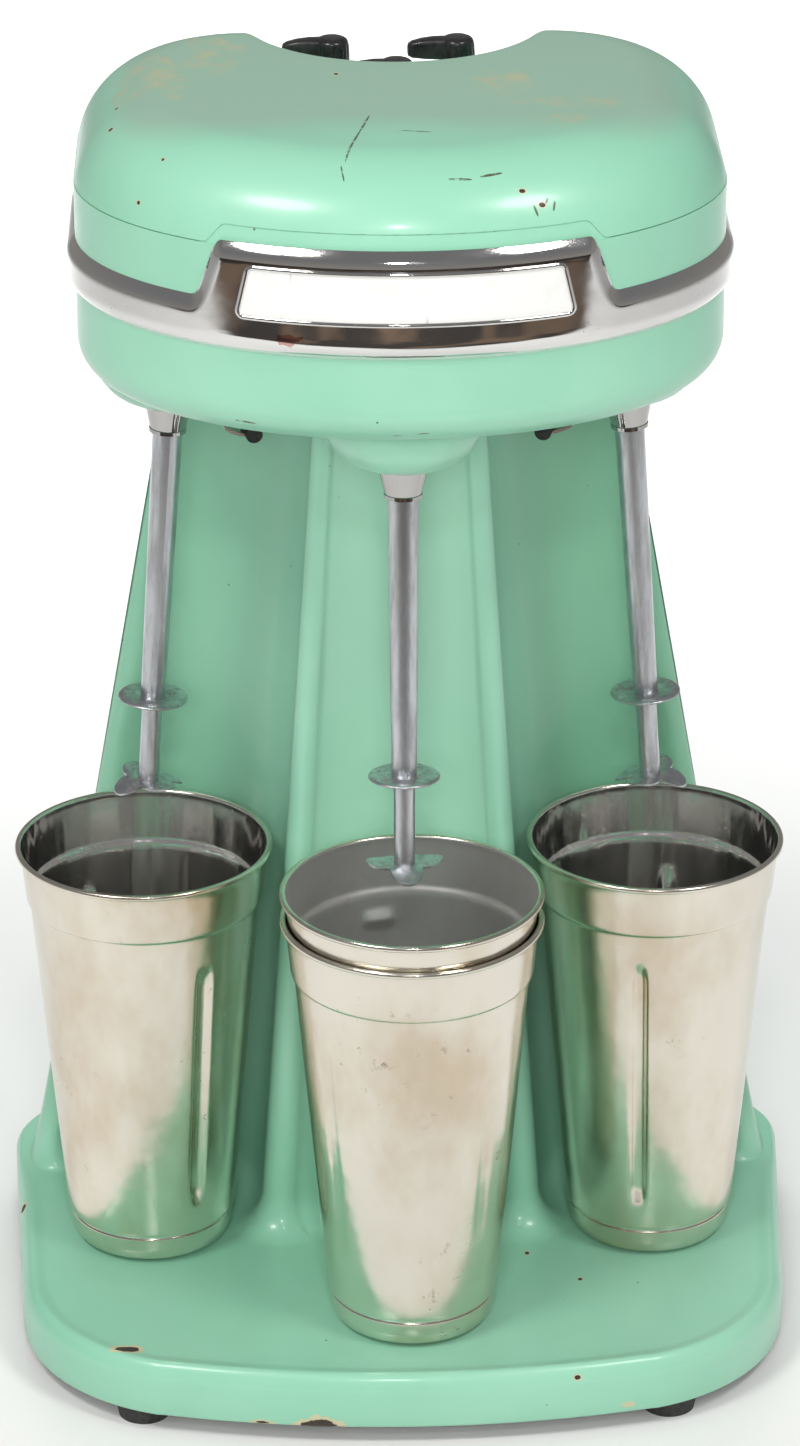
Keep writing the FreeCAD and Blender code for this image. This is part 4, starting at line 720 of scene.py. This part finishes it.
def head_ring(count):
    """The head's plan, anticlockwise from the middle of its front, with its outward normals."""
    quarter = np.linspace(0, 0.5 * math.pi, 200)
    front = [(HEAD_HALF * math.sin(t), HEAD_MIDDLE - HEAD_REACH * math.cos(t)) for t in quarter]
    middle = (HEAD_HALF - HEAD_CORNER, COLUMN_REAR - HEAD_CORNER)
    rear = [(middle[0] + HEAD_CORNER * math.cos(t), middle[1] + HEAD_CORNER * math.sin(t))
            for t in np.linspace(0, 0.5 * math.pi, 40)]
    ring = with_left_half(front + rear, count)
    return ring, normals(ring)


def head_front(x, proud):
    """How far forward the head's front lies at a place across it, with something proud of it."""
    return HEAD_MIDDLE - (HEAD_REACH + proud) * math.sqrt(1 - (x / (HEAD_HALF + proud)) ** 2)


def s_curve(value, low, high):
    """0 below low, 1 above high, with a steep middle and rounded ends."""
    t = np.clip((value - low) / (high - low), 0.0, 1.0)
    return t**3 * (10 - 15 * t + 6 * t * t)


def build_band(rows=30):
    """A rounded chrome strip round the head that steps up over the badge."""
    ring, out = head_ring(900)
    run = np.concatenate([[0], np.cumsum(np.linalg.norm(np.roll(ring, -1, axis=0) - ring, axis=1))[:-1]])
    step = np.where(ring[:, 1] < HEAD_MIDDLE, 1 - s_curve(np.abs(ring[:, 0]), 67.5, 80.5), 0.0)
    tops = BAND_TOP + BAND_STEP * step
    edge = np.stack([run, tops], 1)
    verts = []
    for k in range(rows + 1):
        levels = BAND_BOTTOM + (tops - BAND_BOTTOM) * (0.5 - 0.5 * math.cos(math.pi * k / rows))
        near = np.empty(len(run))
        for i, level in enumerate(levels):
            window = edge[max(0, i - 40):i + 41]
            near[i] = np.hypot(window[:, 0] - run[i], window[:, 1] - level).min()
        depth = np.minimum(np.minimum(levels - BAND_BOTTOM, near), BAND_BEVEL) / BAND_BEVEL
        bevel = np.minimum(depth, 0.35)
        shoulder = np.clip(depth - 0.35, 0.0, 0.386)
        swell = 0.12 + 3.4 * (2.15 * bevel - 0.65 * bevel**2 + 1.695 * shoulder - 2.196 * shoulder**2)
        verts += [(x + nx * w, y + ny * w, z) for (x, y), (nx, ny), w, z in zip(ring, out, swell, levels)]
    for share in (1.0, 0.0):
        verts += [(x + nx * 0.02, y + ny * 0.02, BAND_BOTTOM + (top - BAND_BOTTOM) * share)
                  for (x, y), (nx, ny), top in zip(ring, out, tops)]
    piece("chrome_strip", verts, rings_to_faces(rows + 3, len(ring), wrap=True), "chrome_band", sharp=55)


def build_badge_plate(inset=1.0, proud=3.75, edge_drop=0.35, columns=90, rows=12):
    """A plate that follows the head's front, wider at its foot, with a softened edge."""
    low, high = BADGE_LOW, BADGE_HIGH
    verts = []
    for is_front in (True, False):
        for k in range(rows + 1):
            level = low + inset + (high - low - 2 * inset) * (k / rows)
            half = BADGE_LOW_HALF + (BADGE_HIGH_HALF - BADGE_LOW_HALF) * (level - low) / (high - low) - inset
            for i in range(columns + 1):
                x = -half + 2 * half * i / columns
                edge = min(half - abs(x), level - low - inset, high - inset - level)
                place = proud - edge_drop * max(0.0, 1 - edge / 0.8) if is_front else 0.6
                verts.append((x, head_front(x, place), level))
    wide = columns + 1
    back = (rows + 1) * wide
    faces = rings_to_faces(rows + 1, wide, closed=False)
    faces += [tuple(back + i for i in (face[0], *face[:0:-1])) for face in faces]
    rim = [*range(wide), *(k * wide + columns for k in range(1, rows + 1))]
    rim += [*range(rows * wide + columns - 1, rows * wide - 1, -1), *(k * wide for k in range(rows - 1, 0, -1))]
    for a, b in zip(rim, rim[1:] + rim[:1]):
        faces.append((b, a, back + a, back + b))
    piece("badge_plate", verts, faces, "nameplate", sharp=40)


def build_badge_frame(half=0.9, bead=0.95, proud=3.45, sides=12):
    """The raised rounded bead round the badge."""
    corners = [(side * (width - half), level + up * half) for side, width, level, up in (
        (-1, BADGE_LOW_HALF, BADGE_LOW, 1), (1, BADGE_LOW_HALF, BADGE_LOW, 1),
        (1, BADGE_HIGH_HALF, BADGE_HIGH, -1), (-1, BADGE_HIGH_HALF, BADGE_HIGH, -1))]
    path = []
    for i in range(4):
        path += corner_arc(corners[i - 1], corners[i], corners[(i + 1) % 4], 2.2, 7)
    path = resample(path, 360)
    verts = []
    for (x, z), (nx, nz) in zip(path, normals(path)):
        for k in range(sides):
            angle = TAU * k / sides
            across = bead * math.cos(angle)
            place = x + nx * across
            verts.append((place, head_front(place, proud + bead * math.sin(angle)), z + nz * across))
    piece("badge_bead", verts, rings_to_faces(len(path), sides, wrap=True), "nameplate_frame")


COVER_TOP, COVER_ROUND, SEAM, SEAM_STEP = 534.0, 37.0, 503.0, 7.4
RECESS_RADIUS, RECESS_PLACE, RECESS_LOW = 59.0, 89.0, 505.5
RECESS_LIP = 3.6


def roll_inset(level):
    """How far the cover's side has rolled inwards at a height."""
    rise = np.clip(level - (COVER_TOP - COVER_ROUND), 0.0, COVER_ROUND)
    return COVER_ROUND - np.sqrt(COVER_ROUND**2 - rise**2)


def cover_plans(columns=240):
    """The cover's outer edge and the recess's lip, both from one back end round to the other."""
    ring, _ = head_ring(1440)
    right = ring[(ring[:, 0] >= -0.001) & ((ring[:, 1] < 98.0) | (ring[:, 0] >= RECESS_RADIUS))]
    outer = right[np.argsort(np.where(right[:, 1] < 98.4, right[:, 1], 200 - right[:, 0]))]
    outer = np.vstack([outer[outer[:, 1] < 98.4], [[RECESS_RADIUS, COLUMN_REAR]]])
    lip = [(RECESS_RADIUS * math.cos(a), RECESS_PLACE + RECESS_RADIUS * math.sin(a))
           for a in np.linspace(-0.5 * math.pi, 0, 90)]
    lip.append((RECESS_RADIUS, COLUMN_REAR))
    halves = (resample(half, columns, closed=False) for half in (outer, lip))
    outer, lip = (np.vstack([half[::-1], half[1:] * (-1, 1)]) for half in halves)
    return outer, lip, ring[(ring[:, 1] < 98.4) | (np.abs(ring[:, 0]) > RECESS_RADIUS - 2)]


def build_dome():
    """The domed cover: a rolled edge, a soft-lipped horseshoe recess and a seam that steps over the badge."""
    outer, lip, boundary = cover_plans()
    step = 1 - s_curve(np.abs(outer[:, 0]), 67.0, 76.0)
    seam = np.where(outer[:, 1] < HEAD_MIDDLE, SEAM + SEAM_STEP * step, SEAM + 0.1)
    tangent = np.gradient(outer, axis=0)
    tangent /= np.linalg.norm(tangent, axis=1)[:, None]
    inward = np.stack([tangent[:, 1], -tangent[:, 0]], 1)
    inward *= np.sign(((lip - outer) * inward).sum(1) + 1e-9)[:, None]
    inward[0] = inward[-1] = (0, -1)
    start = outer + inward * (roll_inset(seam) - 0.3)[:, None]
    length = np.linalg.norm(lip - start, axis=1)
    soft = np.minimum(RECESS_LIP, 0.4 * length)
    main = (length - soft) / np.maximum(length, 1e-6)
    shares = [main * (k / 60) ** 1.7 for k in range(61)]
    shares += [1 - (1 - main) * e for e in (0.78, 0.57, 0.38, 0.22, 0.1, 0.025, 0.0)]
    flat = np.vstack([start + (lip - start) * s[:, None] for s in shares])
    depth = np.concatenate([nearest(part, boundary) for part in np.array_split(flat, 40)])
    fall = COVER_ROUND - np.clip(depth + 0.3, 0, COVER_ROUND)
    level = np.minimum(COVER_TOP - COVER_ROUND + np.sqrt(COVER_ROUND**2 - fall**2), COVER_TOP - 0.02)
    count = len(outer)
    level = level.reshape(-1, count)
    flat = flat.reshape(-1, count, 2)
    drop = np.clip(soft - np.stack([(1 - s) * length for s in shares]), 0, None)
    level -= soft - np.sqrt(np.clip(soft**2 - drop**2, 0, None))
    level = np.maximum(level, seam + 0.02)
    level[0] = seam + 0.5

    rings = []
    for inset, rise in ((0.6, 0.0), (0.15, 0.35)):
        rings.append((start + inward * np.minimum(inset, 0.3 * length)[:, None], seam + rise))
    rings += zip(flat, level)
    top_of_wall = level[-1]
    low = np.minimum(RECESS_LOW, top_of_wall - 0.01)
    rings += [(lip, top_of_wall + (low - top_of_wall) * share) for share in (0.3, 0.65, 1.0)]
    verts = [(x, y, z) for places, heights in rings for (x, y), z in zip(places, heights)]
    faces = rings_to_faces(len(rings), count, closed=False, wrap=True)
    faces += [tuple(i * count + j for i in range(len(rings))) for j in (0, count - 1)]
    piece("domed_cover", verts, faces, "top_cover", sharp=48, merge=0.02)


build_dome()
build_band()
build_badge_plate()
build_badge_frame()


# ---- spindles


SIDES = ("left", "centre", "right")
SPINDLE_TIP = 155.0  # from the joint's place down to the tip
PETAL_START = {"left": 0.35, "centre": 0.1, "right": -0.2}
DISC = [(4.25, 39.25), (6.0, 39.3), (7.5, 39.7), (11.5, 40.0), (13.2, 39.8), (14.0, 39.4), (14.25, 39.7), (14.1, 40.2),
        (13.2, 40.75), (11.5, 40.9), (7.6, 40.6), (6.2, 40.1), (4.25, 40.0), (4.25, 39.25)]


def on_spindle(side, verts):
    """Moves places from one spindle's own millimetres, tip at the origin, to the frame's millimetres."""
    joint = JOINTS[f"spindle_{side}_spin"]
    axis = Vector(joint["axis"]).normalized()
    turn = axis.to_track_quat("Z", "Y").to_matrix().to_4x4()
    matrix = Matrix.Translation(Vector(joint["pos_m"]) / MM - axis * SPINDLE_TIP) @ turn
    return [tuple(matrix @ Vector(v)) for v in verts]


def build_agitator(side, rings=16, count=128):
    """The stamped blade: four rounded petals, bent by turns up and down round a flat hub."""
    verts = []
    for height in (3.05, 3.85):
        for i in range(rings + 1):
            for j in range(count):
                angle = TAU * j / count
                edge = 9.2 + 6.0 * (0.5 + 0.5 * math.cos(4 * angle)) ** 0.55
                radius = 1.6 + (edge - 1.6) * i / rings
                far = max(0.0, radius - 5.0) / 10.4
                bend = 2.6 * far**1.4 * math.cos(2 * angle) - 1.5 * far**2
                around = angle + PETAL_START[side]
                verts.append((radius * math.cos(around), radius * math.sin(around), height + bend))
    wide = (rings + 1) * count
    top = rings_to_faces(rings + 1, count, wide)
    faces = top + [tuple(i - wide for i in (face[0], *face[:0:-1])) for face in top]
    for row in (0, rings):
        for j in range(count):
            a, b = row * count + j, row * count + (j + 1) % count
            faces.append((a, b, wide + b, wide + a))
    piece(f"agitator_blade_{side}", on_spindle(side, verts), faces, f"agitator_{side}", sharp=50)


def build_disc(side, segments=96):
    """The splash disc: a shallow dished washer with a rolled edge."""
    profile = round_corners(DISC, lambda i: 0.3, 3)
    angles = [TAU * j / segments for j in range(segments)]
    verts = [(radius * math.cos(a), radius * math.sin(a), height) for radius, height in profile for a in angles]
    faces = rings_to_faces(len(profile), segments)
    piece(f"splash_washer_{side}", on_spindle(side, verts), faces, f"splash_disc_{side}", sharp=50)


for spindle_side in SIDES:
    build_agitator(spindle_side)
    build_disc(spindle_side)


# ---- knobs


KNOB_FLOOR = 507.0
KNOB_PROFILE = [(0.0, -9.8), (3.0, -9.8), (3.0, 4.6), (6.6, 4.6), (7.15, 5.2), (7.15, 14.0), (6.9, 18.4), (6.2, 20.4),
                (4.6, 21.3), (0.0, 21.5)]
# The pointer's cross sections: place along it, half width, bottom, top.
POINTER = [(-3.0, 4.0, 12.2, 21.0), (-9.0, 3.7, 12.2, 21.0), (-14.0, 3.3, 12.4, 20.4), (-18.0, 2.8, 12.8, 19.4),
           (-19.6, 2.2, 13.6, 18.4), (-19.98, 1.2, 14.6, 17.2)]
FLUTES, FLUTE_DEPTH = 20, 0.28
SQUARENESS = 0.45


def build_knob(side, segments=120, ring=24):
    """A moulded pointer knob: fluted skirt, domed top, tapered pointer with rounded edges."""
    x0, y0 = (c / MM for c in JOINTS[f"knob_{side}_turn"]["pos_m"][:2])
    verts = []
    for radius, height in dense(round_corners(KNOB_PROFILE, lambda i: 0.7 if i > 2 else 0.0, 4), 3.0):
        fluted = radius > 6.5 and 5.0 < height < 19
        for j in range(segments):
            angle = TAU * j / segments
            r = radius - (FLUTE_DEPTH * (0.5 - 0.5 * math.cos(FLUTES * angle)) if fluted else 0.0)
            verts.append((x0 + r * math.cos(angle), y0 + r * math.sin(angle), KNOB_FLOOR + height))
    faces = rings_to_faces(len(verts) // segments, segments)
    first = len(verts)
    for place, half, low, high in POINTER:
        for k in range(ring):
            angle = TAU * k / ring
            c, s = (math.copysign(abs(v) ** SQUARENESS, v) for v in (math.cos(angle), math.sin(angle)))
            verts.append((x0 + place, y0 + half * c, KNOB_FLOOR + 0.5 * (low + high) + 0.5 * (high - low) * s))
    faces += rings_to_faces(len(POINTER), ring, first)
    faces += [tuple(range(start, start + ring)) for start in (first, len(verts) - ring)]
    piece(f"pointer_knob_{side}", verts, faces, f"knob_{side}", sharp=45)


for knob_side in SIDES:
    build_knob(knob_side)


# ---- floor, light, camera


FLOOR_REACH = 6.0
DIM, WARM = (0.035, 0.03, 0.027), (0.15, 0.10, 0.068)
# Name, place, target, power, colour, width, depth, and whether polished metal mirrors it.
LIGHTS = [
    ("key", (-0.90, -0.95, 2.02), (0, 0, 0.34), 15.5, (1.0, 0.985, 0.955), 0.66, 0.42, True),
    ("fill", (0.92, -0.92, 2.00), (0, 0, 0.34), 11.5, (1.0, 0.99, 0.97), 0.54, 0.42, True),
    ("flash", (-0.02, -1.95, 1.75), (0, 0, 0.34), 6.0, (0.98, 0.99, 1.0), 0.18, 0.14, True),
    ("front", (-0.12, -2.30, 1.28), (0, 0, 0.28), 22.0, (1.0, 0.99, 0.97), 0.7, 0.6, False),
    ("backdrop", (0.0, 1.6, 0.9), (0, 1.45, 0), 20.0, (1, 1, 1), 1.8, 0.9, False),
]
# The sky's colours at the horizon and above: as seen, and as mirrored.
SKIES = [((0.80, 0.80, 0.79, 1), (0.72, 0.73, 0.74, 1)), ((0.50, 0.48, 0.45, 1), (0.35, 0.35, 0.36, 1))]
SKY_STRENGTH = 0.52
# The camera fitted to the photograph: pixels of 800 x 1446, radians and metres.
FRAME_HEIGHT, FOCAL_PX = 1446.0, 5504.44
YAW, PITCH, ROLL = -0.02281, 0.41952, -0.00186
CAMERA_PLACE = (-0.04649, -2.03368, 1.17145)
SENSOR = 36.0


def build_stage():
    """A plain pale floor that runs out of view. Polished metal mirrors its far front as a dim room."""
    mesh = bpy.data.meshes.new("floor")
    far = FLOOR_REACH
    mesh.from_pydata([(-far, -far, 0), (far, -far, 0), (far, far, 0), (-far, far, 0)], [], [(0, 1, 2, 3)])
    floor = bpy.data.objects.new("floor", mesh)
    bpy.context.scene.collection.objects.link(floor)
    g = Graph("floor_pale")
    tone = g.mix(g.ramp(g.noise(3.0, 2.0), 0.3, 0.7), (0.86, 0.86, 0.85), (0.83, 0.83, 0.825))
    aside = g.math("ABSOLUTE", g.axis("X"))
    wedge = g.math("SUBTRACT", g.times(g.axis("Y"), -1.0), g.times(aside, 0.20))
    shade = g.ramp(g.math("ADD", wedge, g.times(g.noise(3.2, 2.0), 0.25)), 0.72, 0.86)
    room = g.mix(g.ramp(g.noise(2.3, 3.0, 0.5), 0.47, 0.62), DIM, WARM)
    mirrored = g.add("LightPath").outputs["Is Glossy Ray"]
    g.finish(Base_Color=g.mix(g.times(shade, mirrored), tone, room), Roughness=0.9)
    mesh.materials.append(g.material)


def build_sky():
    """A pale even sky, which polished metal mirrors darker."""
    world = bpy.data.worlds.new("studio")
    world.use_nodes = True
    tree = world.node_tree
    kinds = ("TexCoord", "SeparateXYZ", "LightPath", "Mix")
    coord, split, path, mix = (tree.nodes.new("ShaderNode" + kind) for kind in kinds)
    mix.data_type = "RGBA"
    tree.links.new(coord.outputs["Generated"], split.inputs[0])
    tree.links.new(path.outputs["Is Glossy Ray"], mix.inputs["Factor"])
    for socket, (low, high) in zip("AB", SKIES):
        ramp = tree.nodes.new("ShaderNodeValToRGB")
        tree.links.new(split.outputs["Z"], ramp.inputs["Fac"])
        ramp.color_ramp.elements[0].color = low
        ramp.color_ramp.elements[1].position = 0.6
        ramp.color_ramp.elements[1].color = high
        tree.links.new(ramp.outputs["Color"], mix.inputs[socket])
    background = tree.nodes["Background"]
    tree.links.new(mix.outputs["Result"], background.inputs["Color"])
    background.inputs["Strength"].default_value = SKY_STRENGTH
    bpy.context.scene.world = world


def build_light(name, place, target, power, colour, width, depth, mirrored):
    """An oval soft light that faces a point."""
    data = bpy.data.lights.new(name, "AREA")
    data.shape = "ELLIPSE"
    data.size, data.size_y = width, depth
    data.energy = power
    data.color = colour
    light = bpy.data.objects.new(name, data)
    light.location = place
    light.rotation_euler = (Vector(target) - Vector(place)).to_track_quat("-Z", "Y").to_euler()
    light.visible_glossy = mirrored
    bpy.context.scene.collection.objects.link(light)


def build_camera():
    """The camera at the photograph's height, distance and angle."""
    data = bpy.data.cameras.new("view")
    data.sensor_fit = "VERTICAL"
    data.sensor_width = data.sensor_height = SENSOR
    data.lens = SENSOR * FOCAL_PX / FRAME_HEIGHT
    data.clip_start, data.clip_end = 0.05, 30.0
    camera = bpy.data.objects.new("view", data)
    camera.location = CAMERA_PLACE
    forward = Vector((-math.sin(YAW) * math.cos(PITCH), math.cos(YAW) * math.cos(PITCH), -math.sin(PITCH)))
    right = Vector((math.cos(YAW), math.sin(YAW), 0))
    up = right.cross(forward)
    across = right * math.cos(ROLL) + up * math.sin(ROLL)
    above = up * math.cos(ROLL) - right * math.sin(ROLL)
    camera.rotation_euler = Matrix((across, above, -forward)).transposed().to_euler()
    bpy.context.scene.collection.objects.link(camera)
    bpy.context.scene.camera = camera


build_stage()
build_sky()
for light_row in LIGHTS:
    build_light(*light_row)
build_camera()
bpy.context.scene.view_settings.view_transform = "Standard"
